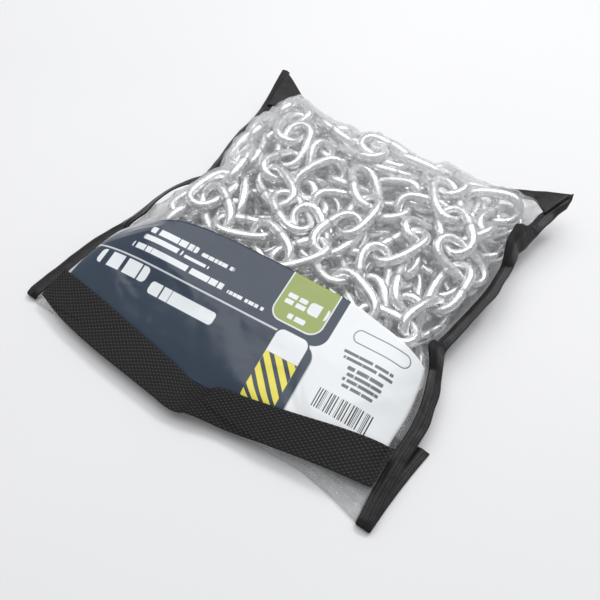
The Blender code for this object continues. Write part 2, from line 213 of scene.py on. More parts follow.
def ripples(seed, x, y, pitch, stretch=1.0, angle=0.0, count=9):
    """A smooth random surface with humps about pitch apart, drawn out along an angle."""
    rng = np.random.default_rng(seed)
    a = x * np.cos(angle) + y * np.sin(angle)
    b = (y * np.cos(angle) - x * np.sin(angle)) * stretch
    total = 0 * x
    for _ in range(count):
        turn, scale = rng.uniform(0, np.pi), rng.uniform(0.6, 1.7)
        run = (a * np.cos(turn) + b * np.sin(turn)) * scale / pitch
        total = total + np.sin(2 * np.pi * run + rng.uniform(0, 6.28)) / scale
    return total / 4.0


# The pouch, with u from 0 at the left to 1 at the right, and v from 0 at the near to 1 at the far end
def side(seam, v):
    """A side seam's points."""
    y = seam[0][0] + v * (seam[-1][0] - seam[0][0])
    xz = smooth_curve(seam, y)
    return np.stack([xz[..., 0], y, xz[..., 1]], -1)


def cross(seam, u):
    """The near or far seam's points."""
    x = seam[0][0] + u * (seam[-1][0] - seam[0][0])
    yz = smooth_curve(seam, x)
    return np.stack([x, yz[..., 0], yz[..., 1]], -1)


def seam_patch(u, v):
    """The surface spanned by the four seams, before any bulge."""
    u, v = np.broadcast_arrays(np.asarray(u, float), np.asarray(v, float))
    a, b = side(LEFT_SEAM, v), side(RIGHT_SEAM, v)
    c, d = cross(NEAR_SEAM, u), cross(FAR_SEAM, u)
    u, v = u[..., None], v[..., None]
    near, far = np.zeros(1), np.ones(1)
    corners = (
        (1 - u) * (1 - v) * side(LEFT_SEAM, near)
        + u * (1 - v) * side(RIGHT_SEAM, near)
        + (1 - u) * v * side(LEFT_SEAM, far)
        + u * v * side(RIGHT_SEAM, far)
    )
    return (1 - u) * a + u * b + (1 - v) * c + v * d - corners


def to_seams(points, u, v):
    """How far points are from the left, the right and the far seam."""
    left = points[..., 0] - side(LEFT_SEAM, v)[..., 0]
    right = side(RIGHT_SEAM, v)[..., 0] - points[..., 0]
    far = cross(FAR_SEAM, u)[..., 1] - points[..., 1]
    return left, right, far


def shoulder(reach):
    """Rises as a quarter of a circle does, from 0 to 1."""
    reach = np.clip(reach, 0, 1)
    return np.sqrt(np.maximum(1 - (1 - reach) ** 2, 0))


def rise(points, u, v):
    """How much of the full bulge there is, from 0 on the seams to 1 over the heap."""
    left, right, far = to_seams(points, u, v)
    y = points[..., 1]
    return (
        shoulder(left / read_off(SHOULDER_LEFT, y))
        * shoulder(right / read_off(SHOULDER_RIGHT, y))
        * shoulder(far / SHOULDER_FAR)
    )


def front(u, v, push=True):
    """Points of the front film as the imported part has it, with or without the push at its far end."""
    u, v = np.broadcast_arrays(np.asarray(u, float), np.asarray(v, float))
    p = seam_patch(u, v)
    amount = rise(p, u, v)
    p[..., 2] += amount * np.maximum(read_off(CROWN, p[..., 1]) - p[..., 2], 0)
    if push:
        middle = np.clip(1.7 * np.sin(np.pi * u), 0, 1)
        p[..., 1] += FAR_PUSH * ramp(p[..., 1], *PUSH_RAMP) * shoulder(1 - np.abs(2 * amount - 1)) * middle
    return p


def ear_share(flat, u, v):
    """How closely the two films lie together near the ears, from 0 to 1."""
    left, right, far = to_seams(flat, u, v)
    pressed_left = ramp(left + far, EAR_LEFT + 10, -EAR_SPREAD)
    pressed_right = ramp(right + far, EAR_RIGHT + 10, -EAR_SPREAD)
    return eased(np.maximum(pressed_left, pressed_right))


def back(u, v):
    """Points of the back film: flat on the floor, then up round the heap's sides to the seams."""
    u, v = np.broadcast_arrays(np.asarray(u, float), np.asarray(v, float))
    p = seam_patch(u, v)
    ears = ear_share(p, u, v)
    turned_up = [1 - shoulder(reach / SIDE_RISE) for reach in to_seams(p, u, v)]
    flat = np.where(p[..., 1] < FLAP_Y + 6, FLAP_TOP, FILM / 2)
    height = flat + np.max(turned_up, axis=0) * np.maximum(p[..., 2] - flat, 0)
    swell = SIDE_BELLY * (1 - ears)
    left, right, far = (swell * np.sin(np.pi * up) * ramp(p[..., 1], *BELLY_RAMP) for up in turned_up)
    p[..., 0] += right - left
    p[..., 1] += far
    p[..., 2] = height + ears * np.maximum(p[..., 2] - EAR_ROOM - height, 0)
    return p


def locate(x, y):
    """The (u, v) of the front film over a plan point."""
    x, y = np.broadcast_arrays(np.asarray(x, float), np.asarray(y, float))
    u, v = (x + PLAN_WIDE / 2) / PLAN_WIDE, (y - NEAR_Y) / PLAN_LONG
    for _ in range(SEARCH_STEPS):
        p = seam_patch(u, v)
        u = u + (x - p[..., 0]) / PLAN_WIDE
        v = v + (y - p[..., 1]) / (PLAN_LONG + 10)
    return u, v


def row_at(u, y):
    """The v at which each u meets a plan y."""
    v = (y - NEAR_Y) / PLAN_LONG + 0 * u
    for _ in range(SEARCH_STEPS):
        v = v + (y - seam_patch(u, v)[..., 1]) / (PLAN_LONG + 5)
    return v


def film_over(x, y):
    """The front film's height over a plan point, carried straight on beyond the near fold."""
    inside = np.maximum(y, NEAR_Y)
    u, v = locate(x, inside)
    return front(u, v, push=False)[..., 2] + (y - inside) * NEAR_SLOPE


def tucked(points):
    """Draws in the near end of the pouch, where it is crumpled under the strap."""
    drawn = points.copy()
    drawn[..., 1] += read_off(TUCK, points[..., 0]) * eased(ramp(points[..., 1], *TUCK_RAMP))
    return drawn


def normals_of(points):
    """Unit normals of a grid of points, rows running away from the near end."""
    return unit(np.cross(np.gradient(points, axis=1), np.gradient(points, axis=0)))


# Settling of the chain: the grid of plan points, how far the heap may spread, and how far the line may wander
# along which its links are first laid out
CELL = 2.0
FIELD_X, FIELD_Y = np.arange(-176.0, 172.0, CELL), np.arange(-188.0, 160.0, CELL)
HEAP_X = (-132.0, 148.0)
HEAP_Y = (-165.0, 141.0)
PATH_X = (-118.0, 140.0)
PATH_Y = (-112.0, 128.0)

# Upright walls across the far corners, as the way out in x and y and how far out, and along the far seam
EAR_WALLS = ((-0.55, 0.83, 181.0), (0.56, 0.83, 188.5))
FAR_WALL = cross(FAR_SEAM, np.linspace(0, 1, 60))[:, :2]

# How many times its final height the heap starts from, and how many spheres stand in for a link
FALL = 12.0
LINK_POINTS = 18
FINE_LINK_POINTS = 96

# How strongly an overlap is pushed apart, the most that one with the film counts, and how far a link may move
# and turn in one step
PUSH = 4.0
DEEPEST = 4
LONGEST_MOVE = 2.0
LARGEST_TURN = 0.12

# Room for the back film below the wires, as they settle and in the end
FLOOR_ROOM = 0.6
FINAL_ROOM = 0.9

# How far past the far seam its wall stands in the end, and how far it closes in
WALL_END = -3.0
WALL_TRAVEL = 15.0

# The part of the heap behind the sheet, where few links need to lie
HIDDEN_Y = -62
HIDDEN_ROOM = 0.18


def link_line(count):
    """Points evenly along the middle of one link's wire, the link lying flat along X."""
    half = STRAIGHT + np.pi * BEND
    s = np.arange(count) * 2 * half / count
    flip = np.where(s < half, 1, -1)
    s = s % half
    turn = np.maximum(s - STRAIGHT, 0) / BEND
    x = np.where(s < STRAIGHT, s - STRAIGHT / 2, STRAIGHT / 2 + BEND * np.sin(turn))
    y = BEND * np.cos(turn)
    return np.stack([flip * x, flip * y, 0 * s], -1)


def room_under_film():
    """The film's height over a grid of plan points, with its slopes along X and Y."""
    x, y = np.meshgrid(FIELD_X, FIELD_Y, indexing="ij")
    drawn_back = 9 * ramp(y, *PUSH_RAMP)
    height = film_over(x.ravel(), (y - drawn_back).ravel()).reshape(x.shape)
    return np.stack([height, *np.gradient(height, CELL)])


def sample(field, x, y):
    """Values of a grid of plan points, straight from one to the next."""
    fx = np.clip((x - FIELD_X[0]) / CELL, 0, field.shape[1] - 1.001)
    fy = np.clip((y - FIELD_Y[0]) / CELL, 0, field.shape[2] - 1.001)
    i, j = fx.astype(int), fy.astype(int)
    s, t = fx - i, fy - j
    return (
        field[:, i, j] * (1 - s) * (1 - t)
        + field[:, i + 1, j] * s * (1 - t)
        + field[:, i, j + 1] * (1 - s) * t
        + field[:, i + 1, j + 1] * s * t
    )


def wander(rng, total, step, field):
    """The chain's way in plan: it keeps turning to where the least chain lies so far."""
    # How far it looks ahead, how wide the chain lies, how sharply it turns, and the cells that it counts in
    ahead, spread, bend, cell = 46.0, 16.0, 0.26, 8.0
    low, high = np.transpose((PATH_X, PATH_Y))
    grid_x, grid_y = np.arange(-140, 164, cell), np.arange(-176, 160, cell)
    x, y = np.meshgrid(grid_x, grid_y, indexing="ij")
    room = sample(field, x, y)[0] * np.where(y < HIDDEN_Y, HIDDEN_ROOM, 1.0)
    filled = np.zeros_like(x)
    place, heading, turn = np.array([10.0, 0.0]), rng.uniform(0, 6.28), 0.0
    path = []
    for _ in range(total):
        costs = []
        for k in (-1.0, -0.5, 0.0, 0.5, 1.0):
            way = heading + k * bend * ahead / step * 0.35
            p = place + ahead * np.array([np.cos(way), np.sin(way)])
            outside = np.linalg.norm(np.maximum(low - p, 0) + np.minimum(high - p, 0))
            i = int(np.clip((p[0] - grid_x[0]) / cell + 0.5, 0, len(grid_x) - 1))
            j = int(np.clip((p[1] - grid_y[0]) / cell + 0.5, 0, len(grid_y) - 1))
            costs.append((filled[i, j] / max(room[i, j], 1) + outside * 0.15 + 0.1 * rng.uniform(), k))
        turn = 0.7 * turn + 0.3 * min(costs)[1] * bend
        heading += turn
        place = place + step * np.array([np.cos(heading), np.sin(heading)])
        path.append(place)
        filled += np.exp(-((x - place[0]) ** 2 + (y - place[1]) ** 2) / (2 * spread**2)) * step * 0.35
    return np.array(path)


def laid_out(rng, count, field):
    """The links in a row along the wandering way, each turned a quarter from the last, high up."""
    step = 5.0
    total = int(count * INSIDE_LENGTH / step) + 60
    path = wander(rng, total, step, field)
    share = np.arange(total) / (total - 1)
    line = np.column_stack([path, (0.15 + 0.75 * share) * sample(field, *path.T)[0] * FALL])
    for _ in range(30):
        line[1:-1, 2] = (line[:-2, 2] + line[1:-1, 2] * 2 + line[2:, 2]) / 4
    run = run_along(line)
    at = np.linspace(0, min(run[-1], count * INSIDE_LENGTH * 0.97), count + 1)
    joints = np.column_stack([np.interp(at, run, line[:, axis]) for axis in range(3)])
    centres = (joints[1:] + joints[:-1]) / 2
    along = unit(joints[1:] - joints[:-1])
    level = unit(np.cross((0, 0, 1.0), along))
    upright = np.cross(along, level)
    roll = np.where(np.arange(count) % 2, np.pi / 4, -np.pi / 4) + rng.uniform(-0.15, 0.15, count)
    wide = level * np.cos(roll)[:, None] + upright * np.sin(roll)[:, None]
    return centres, np.stack([along, wide, np.cross(along, wide)], 2)


def turned(turns, by):
    """Rotation matrices turned on by small rotation vectors."""
    angle = np.linalg.norm(by, axis=1)
    x, y, z = (by / np.maximum(angle, 1e-12)[:, None]).T
    zero = 0 * x
    k = np.stack([zero, -z, y, z, zero, -x, -y, x, zero], -1).reshape(-1, 3, 3)
    angle = angle[:, None, None]
    return (np.eye(3) + np.sin(angle) * k + (1 - np.cos(angle)) * (k @ k)) @ turns


def wall_contacts(points, field, scale, slack):
    """Where wires press on the film, the floor and the pouch's sides: link, point, depth and direction."""
    height, slope_x, slope_y = sample(field, points[..., 0], points[..., 1]) * scale
    lean = np.sqrt(1 + slope_x**2 + slope_y**2)
    over = (points[..., 2] - (height - (RADIUS + FILM) * lean)) / lean
    found = np.nonzero(over > 0)
    down = np.stack([slope_x[found], slope_y[found], -np.ones(len(found[0]))], -1) / lean[found][:, None]
    rows = [(found, np.minimum(over[found], DEEPEST), down)]
    sides = [(RADIUS + FLOOR_ROOM - points[..., 2], (0, 0, 1.0))]
    for axis, (low, high) in enumerate((HEAP_X, HEAP_Y)):
        way = np.eye(3)[axis]
        sides += [(low - points[..., axis], way), (points[..., axis] - high, -way)]
    sides.append((points[..., 1] - read_off(FAR_WALL, points[..., 0]) - slack, (0, -1.0, 0)))
    for across, away, limit in EAR_WALLS:
        sides.append((points[..., 0] * across + points[..., 1] * away - limit, (-across, -away, 0.0)))
    for depth, way in sides:
        found = np.nonzero(depth > 0)
        rows.append((found, depth[found], np.tile(way, (len(found[0]), 1))))
    places, depths, ways = zip(*rows)
    link, point = np.concatenate(places, axis=1)
    return link, point, np.concatenate(depths), np.concatenate(ways)


def wire_contacts(points, centres, pairs):
    """Where the wires of two links press on each other: links, points, depth and direction."""
    reach = 2 * (STRAIGHT / 2 + BEND + RADIUS)
    close = ((centres[pairs[0]] - centres[pairs[1]]) ** 2).sum(1) < reach**2
    first, second = pairs[0][close], pairs[1][close]
    rough = points.astype(np.float32)
    a, b = rough[first], rough[second]
    apart = -2 * np.matmul(a, b.transpose(0, 2, 1)) + (a**2).sum(-1)[:, :, None] + (b**2).sum(-1)[:, None, :]
    m, ka, kb = np.nonzero(apart < WIRE**2 + 0.5)
    ia, ib = first[m], second[m]
    way = points[ia, ka] - points[ib, kb]
    distance = np.sqrt((way**2).sum(1)) + 1e-9
    hit = distance < WIRE
    way = way[hit] / distance[hit][:, None]
    return ia[hit], ka[hit], ib[hit], kb[hit], WIRE - distance[hit], way


def pushed_apart(centres, turns, body, spread, pairs, walls):
    """The links' centres and rotations after a step that pushes every overlap apart by a share of its depth.

    Body holds a link's spheres, spread how easily it turns, and walls the film's height and how it is met.
    """
    count = len(centres)
    arms = np.einsum("nij,kj->nki", turns, body)
    points = centres[:, None, :] + arms
    loose = np.einsum("nij,jk,nlk->nil", turns, spread, turns)
    ia, ka, ib, kb, depth, way = wire_contacts(points, centres, pairs)
    iw, kw, wall_depth, wall_way = wall_contacts(points, *walls)
    touches = np.maximum(sum(np.bincount(i, minlength=count) for i in (ia, ib, iw)), 1)
    pulls = [(ia, ka, way), (ib, kb, way), (iw, kw, wall_way)]
    twists = [np.cross(arms[i, k], n) for i, k, n in pulls]
    swings = [np.einsum("nij,nj->ni", loose[i], t) for (i, _, _), t in zip(pulls, twists)]
    give = [1 + (t * s).sum(1) for t, s in zip(twists, swings)]
    push = PUSH * depth / (touches[ia] * give[0] + touches[ib] * give[1])
    wall_push = PUSH * wall_depth / (touches[iw] * give[2])
    move, turn = np.zeros((count, 3)), np.zeros((count, 3))
    for (i, _, n), s, force in zip(pulls, swings, (push, -push, wall_push)):
        for axis in range(3):
            move[:, axis] += np.bincount(i, force * n[:, axis], count)
            turn[:, axis] += np.bincount(i, force * s[:, axis], count)
    move *= np.minimum(1, LONGEST_MOVE / np.maximum(np.linalg.norm(move, axis=1, keepdims=True), 1e-9))
    turn *= np.minimum(1, LARGEST_TURN / np.maximum(np.linalg.norm(turn, axis=1, keepdims=True), 1e-9))
    # Rounded, so that the last digits never grow into another heap
    return np.round(centres + move, 5), np.round(turned(turns, turn), 7)


def wire_points(centres, turns):
    """Points close together along the wires of all links, a row for each link."""
    return centres[:, None, :] + np.einsum("nij,kj->nki", turns, link_line(FINE_LINK_POINTS))


@functools.lru_cache(maxsize=None)
def settle_chain(count, seed):
    """Centres and rotations of the links once the heap has sunk to its height under the film.

    The links are rigid and keep threading each other, because each is a ring of spheres closer together than
    the wire is thick. The film sinks from far above, and then the links settle while the far wall closes in.
    """
    # How much of its height the film keeps in a round, the steps in a round, and the steps of rest after them
    rate, passes, rest = ((0.988, 6, 1000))
    rng = np.random.default_rng(seed)
    field = room_under_film()
    body = link_line(LINK_POINTS)
    spread = np.linalg.inv(np.mean((body**2).sum(1)) * np.eye(3) - body.T @ body / len(body))
    centres, turns = laid_out(rng, count, field)
    pairs = np.triu_indices(count, 1)
    scale, settling = FALL, rest
    while rest > 0:
        if scale > 1.0:
            lower = max(1.0, scale * rate)
            centres[:, 2] *= lower / scale
            scale, times, sink = lower, passes, 0.0
        else:
            rest -= 1
            times, sink = 1, 0.012 if rest > 80 else 0.0
        slack = WALL_END + WALL_TRAVEL * ramp(rest / settling, 0.1, 0.5)
        for _ in range(times):
            centres[:, 2] -= sink
            centres, turns = pushed_apart(centres, turns, body, spread, pairs, (field, scale, slack))
    u, _, v = np.linalg.svd(turns)
    turns = u @ v
    low = wire_points(centres, turns)[..., 2].min(1)
    centres[:, 2] += np.maximum(RADIUS + FINAL_ROOM - low, 0)
    return centres, turns


def wire_top(centres, turns):
    """The height of the highest wire over a grid of plan points, and -1 where there is none."""
    points = wire_points(centres, turns).reshape(-1, 3)
    top = np.full((len(FIELD_X), len(FIELD_Y)), -1.0)
    i0 = np.round((points[:, 0] - FIELD_X[0]) / CELL).astype(int)
    j0 = np.round((points[:, 1] - FIELD_Y[0]) / CELL).astype(int)
    # A point counts a little beyond its wire, lower the further out
    margin = 1.5
    span = int(RADIUS / CELL) + 2
    for di, dj in itertools.product(range(-span, span + 1), repeat=2):
        i = np.clip(i0 + di, 0, len(FIELD_X) - 1)
        j = np.clip(j0 + dj, 0, len(FIELD_Y) - 1)
        away = (FIELD_X[i] - points[:, 0]) ** 2 + (FIELD_Y[j] - points[:, 1]) ** 2
        on = away < (RADIUS + margin) ** 2
        over = np.sqrt(np.maximum(RADIUS**2 - away, 0))
        past = np.maximum(np.sqrt(away) - RADIUS, 0)
        np.maximum.at(top, (i[on], j[on]), (points[:, 2] + over - margin * past)[on])
    return top


# Building of pieces
def add_node(tree, kind, settings=None, links=None):
    """Adds a shader node. Settings hold its options and plain inputs, and links what feeds its other inputs:
    a socket, or a node, which stands for its first open output."""
    node = tree.nodes.new("ShaderNode" + kind)
    for key, value in (settings or {}).items():
        if isinstance(key, int) or key in node.inputs:
            node.inputs[key].default_value = value
        else:
            setattr(node, key, value)
    for key, feed in (links or {}).items():
        if isinstance(feed, bpy.types.Node):
            feed = next(socket for socket in feed.outputs if socket.enabled)
        tree.links.new(feed, node.inputs[key])
    return node


def make_material(surface, settings):
    """A material named for the function that draws its surface with the nodes that it adds."""
    material = bpy.data.materials.new(surface.__name__)
    material.use_nodes = True
    material.node_tree.nodes.clear()
    add = functools.partial(add_node, material.node_tree)
    add("OutputMaterial", links={"Surface": surface(add, settings)})
    return material


def make_mesh(name, bm, material=None):
    """Turns a bmesh into a mesh of a material."""
    mesh = bpy.data.meshes.new(name)
    bm.to_mesh(mesh)
    bm.free()
    if material:
        mesh.materials.append(material)
    return mesh


def add_object(name, data):
    """Adds an object that holds a mesh, a lamp or a camera."""
    thing = bpy.data.objects.new(name, data)
    bpy.context.scene.collection.objects.link(thing)
    return thing


def make_piece(name, bm, material):
    """Turns a bmesh into a smooth object that rides on the part."""
    mesh = make_mesh(name, bm, material)
    mesh.polygons.foreach_set("use_smooth", [True] * len(mesh.polygons))
    piece = add_object(name, mesh)
    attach(piece, "root")
    return piece


def grid_sheet(points, pattern, shades=None):
    """A sheet of quads through a grid of plan points, its UV map holding the pattern's coordinates.

    Shades are named values between 0 and 1 for each point, which a material can read.
    """
    rows, columns = points.shape[:2]
    bm = bmesh.new()
    bmesh.ops.create_grid(bm, x_segments=columns - 1, y_segments=rows - 1, size=0.5)
    bm.verts.ensure_lookup_table()
    flat = np.array([v.co[:2] for v in bm.verts]) + 0.5
    column = np.round(flat[:, 0] * (columns - 1)).astype(int)
    row = np.round(flat[:, 1] * (rows - 1)).astype(int)
    for vert, place in zip(bm.verts, metres(points)[row, column]):
        vert.co = place
    for name, values in (shades or {}).items():
        layer = bm.verts.layers.float.new(name)
        for vert, value in zip(bm.verts, values[row, column]):
            vert[layer] = value
    marks = pattern[row, column]
    uv = bm.loops.layers.uv.new("pattern")
    for face in bm.faces:
        for loop in face.loops:
            loop[uv].uv = marks[loop.vert.index]
    return bm


def ring_sheet(points, pattern, shades=None):
    """A closed tube through a grid of plan points whose last column repeats its first, its ends filled."""
    bm = grid_sheet(points, pattern, shades)
    bmesh.ops.remove_doubles(bm, verts=bm.verts, dist=0.00001)
    bmesh.ops.holes_fill(bm, edges=[e for e in bm.edges if e.is_boundary], sides=0)
    bmesh.ops.recalc_face_normals(bm, faces=bm.faces)
    return bm


def thicken(piece, thickness_mm):
    """Gives a sheet its thickness, half of it on each side."""
    solid = piece.modifiers.new("thickness", "SOLIDIFY")
    solid.thickness = thickness_mm * 0.001
    solid.offset = 0.0
    solid.use_even_offset = False


# Materials
def zinc_plated_steel(add, settings):
    """Steel wire, bent cold, welded and bright zinc plated: a clean silver mirror with soft edges, a little
    blue where the plating is thin, and a rougher grey ring at the weld."""
    place = add("TexCoord").outputs["Object"]
    weld = add("Attribute", {"attribute_name": "weld"}).outputs["Fac"]
    # 3 mm patches where the bath left the plating duller
    patches = add("TexNoise", {"Scale": 330.0, "Detail": 4.0}, {"Vector": place})
    low, high = settings.roughness - 0.05, settings.roughness + 0.1
    rough = add(
        "MapRange", {"From Min": 0.35, "From Max": 0.7, "To Min": low, "To Max": high}, {"Value": patches}
    )
    rough_weld = add("Math", {"operation": "MULTIPLY_ADD", 1: 0.25}, {0: weld, 2: rough})
    # 1 mm dimples left by the bending dies, felt as a soft wander in the reflections
    dimples = add("TexNoise", {"Scale": 900.0, "Detail": 2.0}, {"Vector": place})
    bump = add("Bump", {"Strength": 0.22, "Distance": 0.0004}, {"Height": dimples})
    tint = add("Mix", {"data_type": "RGBA", 6: settings.colour, 7: linear("#eceef1")}, {0: patches})
    dull = add("Mix", {"data_type": "RGBA", 7: linear("#9a9c9e")}, {0: weld, 6: tint})
    return add(
        "BsdfPrincipled", {"Metallic": 1.0}, {"Base Color": dull, "Roughness": rough_weld, "Normal": bump}
    )


def clear_polythene_film(add, settings):
    """Blown polythene, 0.15 mm thick: what is inside shows plainly, with sharp window-like glints on the
    creases and a thin milky haze where the film is stretched."""
    place = add("TexCoord").outputs["Object"]
    # 20 mm swells and 5 mm crinkles of a film that has been handled
    swell, crinkle = (
        add("TexNoise", {"Scale": scale, "Detail": 2.0, "Distortion": distortion}, {"Vector": place})
        for scale, distortion in ((48.0, 0.8), (190.0, 1.5))
    )
    soft = add("Bump", {"Strength": 0.5, "Distance": 0.0015}, {"Height": swell})
    # Creases: thin sharp ridges where the crinkles change sides
    ridge = add("Math", {"operation": "PINGPONG", 1: 0.08}, {0: crinkle})
    bump = add("Bump", {"Strength": 0.8, "Distance": 0.006}, {"Height": ridge, "Normal": soft})
    through = add("BsdfTransparent", {"Color": settings.tint})
    gloss = add("BsdfGlossy", {"Color": linear("#ffffff"), "Roughness": 0.07}, {"Normal": bump})
    # Schlick's mirror share, which is the same for both faces of a thin film
    facing = add("LayerWeight", {"Blend": 0.5}, {"Normal": bump}).outputs["Facing"]
    fall = add("Math", {"operation": "POWER", 1: 5.0}, {0: facing})
    share = add("Math", {"operation": "MULTIPLY_ADD", 1: 0.8, 2: 0.05}, {0: fall})
    film = add("MixShader", links={0: share, 1: through, 2: gloss})
    milk = add("BsdfDiffuse", {"Color": linear("#f4f6f8")})
    haze = add(
        "MapRange",
        {"From Min": 0.45, "From Max": 0.8, "To Min": settings.haze, "To Max": settings.haze * 4},
        {"Value": swell},
    )
    # Stretched milky towards the far seam, where the heap presses on it, and crumpled milky at the mouth
    y = add("SeparateXYZ", links={0: place}).outputs[1]
    for start, end, most in ((0.0, 0.11, 0.05), (-0.105, -0.135, 0.13)):
        veil = add(
            "MapRange", {"From Min": start, "From Max": end, "To Min": 0.0, "To Max": most}, {"Value": y}
        )
        haze = add("Math", {"operation": "ADD"}, {0: haze, 1: veil})
    return add("MixShader", links={0: haze, 1: film, 2: milk})


def black_polypropylene_tape(add, settings):
    """Smooth polypropylene binding tape: near black with a satin face, fine ribs along its length and worn,
    greyer patches."""
    marks = add("UVMap", {"uv_map": "pattern"})
    place = add("TexCoord").outputs["Object"]
    # 0.6 mm ribs, drawn at 1 mm so that they show
    ribs = add("TexWave", {"Scale": 0.26, "Distortion": 0.4, "bands_direction": "Y"}, {"Vector": marks})
    # Patches of about 10 mm, dented and greyed by handling
    scuffs = add("TexNoise", {"Scale": 90.0, "Detail": 5.0}, {"Vector": place})
    colour = add("Mix", {"data_type": "RGBA", 6: settings.tape, 7: linear("#2e2e30")}, {0: scuffs})
    bump = add("Bump", {"Strength": 0.25, "Distance": 0.0003}, {"Height": ribs})
    dents = add("Bump", {"Strength": 0.6, "Distance": 0.002}, {"Height": scuffs, "Normal": bump})
    return add(
        "BsdfPrincipled", {"Roughness": 0.4, "Specular IOR Level": 0.25},
        {"Base Color": colour, "Normal": dents},
    )


def black_polypropylene_webbing(add, settings):
    """Woven polypropylene webbing: matt black, its coarse picks painted with a highlight as rows of small
    grey dots on their crowns."""
    marks = add("UVMap", {"uv_map": "pattern"})
    crown = add("Attribute", {"attribute_name": "crown"}).outputs["Fac"]
    # 0.25 mm filaments along each pick
    threads = add("TexWave", {"Scale": 1.3, "Distortion": 0.6, "bands_direction": "Y"}, {"Vector": marks})
    # Painted highlight: grey painted on the crown of each pick, near black between them
    colour = add("Mix", {"data_type": "RGBA", 6: linear("#050506"), 7: settings.webbing}, {0: crown})
    bump = add("Bump", {"Strength": 0.35, "Distance": 0.0002}, {"Height": threads})
    return add(
        "BsdfPrincipled",
        {"Roughness": 0.5, "Sheen Weight": 0.04, "Sheen Roughness": 0.4, "Specular IOR Level": 0.3},
        {"Base Color": colour, "Normal": bump},
    )


# The print, in plan units and its own slant: centre, half size and corner radius of each panel
PRINT_SLANT = 0.05
NAVY_TOP = ((-57.4, -64.6), (132.6, 40), 12)
LOW_EDGE = ((-46, -152.6), (119.5, 47.6), 13)
NAVY_LOW = ((-44.4, -153), (116.8, 47), 10)
TAG = ((44, -66), (22, 31), 10)
TAG_EDGE = ((44, -66), (23.1, 32.1), 11)
TAB_EDGE = ((50.3, -122), (15.9, 20.9), 7.5)
TAB = ((50.3, -122), (14.6, 19.6), 6.5)
STRIPE_BOX = ((50.3, -148), (14.6, 25.8), 0.5)
STRIPE_PITCH = 11.9
STRIPE_START = 111.05
LINED_BOX = ((112, -134.8), (23, 7.3), 0.3)
PILL = ((114.8, -80.6), (24, 5.6), 5.5)
PILL_HOLLOW = ((114.8, -80.6), (23.2, 4.8), 4.7)

# Rows of bars: centre, half size and how closely the bars follow one another, and how much stays open
PALE_BARS = (
    ((-89.5, -76.3), (25.5, 2.9), 0.16), ((-42.5, -77.4), (17, 1.7), 0.25), ((-96, -84.6), (21, 2.4), 0.18),
    ((-59.5, -85.6), (13, 1.4), 0.28), ((-73.5, -94.6), (49, 2.7), 0.17), ((-2, -96), (18, 1.5), 0.26),
    ((-119, -114.5), (28, 6.8), 0.11), ((-50, -121), (34, 5.4), 0.12), ((36, -75), (9, 2.0), 0.2),
    ((37, -80.5), (10, 2.0), 0.2), ((56.5, -77.5), (9, 5.2), 0.1), ((44, -91), (8, 2.2), 0.2),
)
GREY_BARS = (
    ((111.5, -95.2), (21, 1.2), 0.3), ((113.5, -99.6), (21, 1.2), 0.3), ((114.5, -105.7), (15, 1.5), 0.26),
    ((116, -110.2), (14.5, 1.2), 0.3), ((115, -114.4), (15, 1.2), 0.3), ((115, -118.8), (13, 1.2), 0.3),
)
BAR_GAP = 0.37
ROW_SHIFT = 0.37

# The painted glare on the crumpled corner of the sheet: its place and slant, and its half size, corner radius
# and soft edge
GLARE_PLACE = {"Location": (-139, -79, 0), "Rotation": (0, 0, 0.62)}
GLARE_PATCH = ((0, 0), (31, 8.5), 8)
GLARE_EDGE = 9


def panel_mask(add, place, centre, half, corner, soft=0.6, pattern=None):
    """A mask that is 1 inside a rectangle with round corners and 0 outside it, in the print's coordinates, or
    that shows a pattern inside it."""
    from_middle = add("VectorMath", {"operation": "SUBTRACT", 1: (*centre, 0)}, {0: place})
    folded = add("VectorMath", {"operation": "ABSOLUTE"}, {0: from_middle})
    inner = (half[0] - corner, half[1] - corner, 0)
    past = add("VectorMath", {"operation": "SUBTRACT", 1: inner}, {0: folded})
    outward = add("VectorMath", {"operation": "MAXIMUM", 1: (0, 0, 0)}, {0: past})
    away = add("VectorMath", {"operation": "LENGTH"}, {0: outward})
    edge = {"From Min": corner + soft / 2, "From Max": corner - soft / 2}
    return add("MapRange", edge, {"Value": away, "To Max": pattern} if pattern else {"Value": away})


def bar_row(add, place, centre, half, pitch):
    """The mask of a row of plain bars of uneven length."""
    # Each row reads the same noise at a place of its own
    moved = add("VectorMath", {"operation": "ADD", 1: (0, 0, centre[1] * ROW_SHIFT)}, {0: place})
    along = add("VectorMath", {"operation": "DOT_PRODUCT", 1: (pitch, 0, 1)}, {0: moved})
    cells = add("TexNoise", {"Scale": 1.0, "Detail": 1.0, "noise_dimensions": "1D"}, {"W": along})
    solid = add("MapRange", {"From Min": BAR_GAP, "From Max": BAR_GAP + 0.03}, {"Value": cells})
    return panel_mask(add, place, centre, half, half[1] * 0.6, 0.5, solid)


def hazard_stripes(add, place):
    """The mask of stripes at 45 degrees, three fifths of them yellow."""
    slant = add("VectorMath", {"operation": "DOT_PRODUCT", 1: (1.0, 1.0, 0)}, {0: place})
    phase = add("Math", {"operation": "ADD", 1: STRIPE_START}, {0: slant})
    cycle = add("Math", {"operation": "PINGPONG", 1: STRIPE_PITCH / 2}, {0: phase})
    bars = add(
        "MapRange", {"From Min": STRIPE_PITCH * 0.32, "From Max": STRIPE_PITCH * 0.28}, {"Value": cycle}
    )
    return panel_mask(add, place, *STRIPE_BOX, pattern=bars)


def upright_lines(add, place):
    """The mask of a block of plain upright bars, about 0.9 mm apart."""
    along = add("SeparateXYZ", links={0: place})
    cells = add("TexNoise", {"Scale": 0.9, "Detail": 0.0, "noise_dimensions": "1D"}, {"W": along})
    dark = add("MapRange", {"From Min": 0.5, "From Max": 0.53}, {"Value": cells})
    return panel_mask(add, place, *LINED_BOX, pattern=dark)


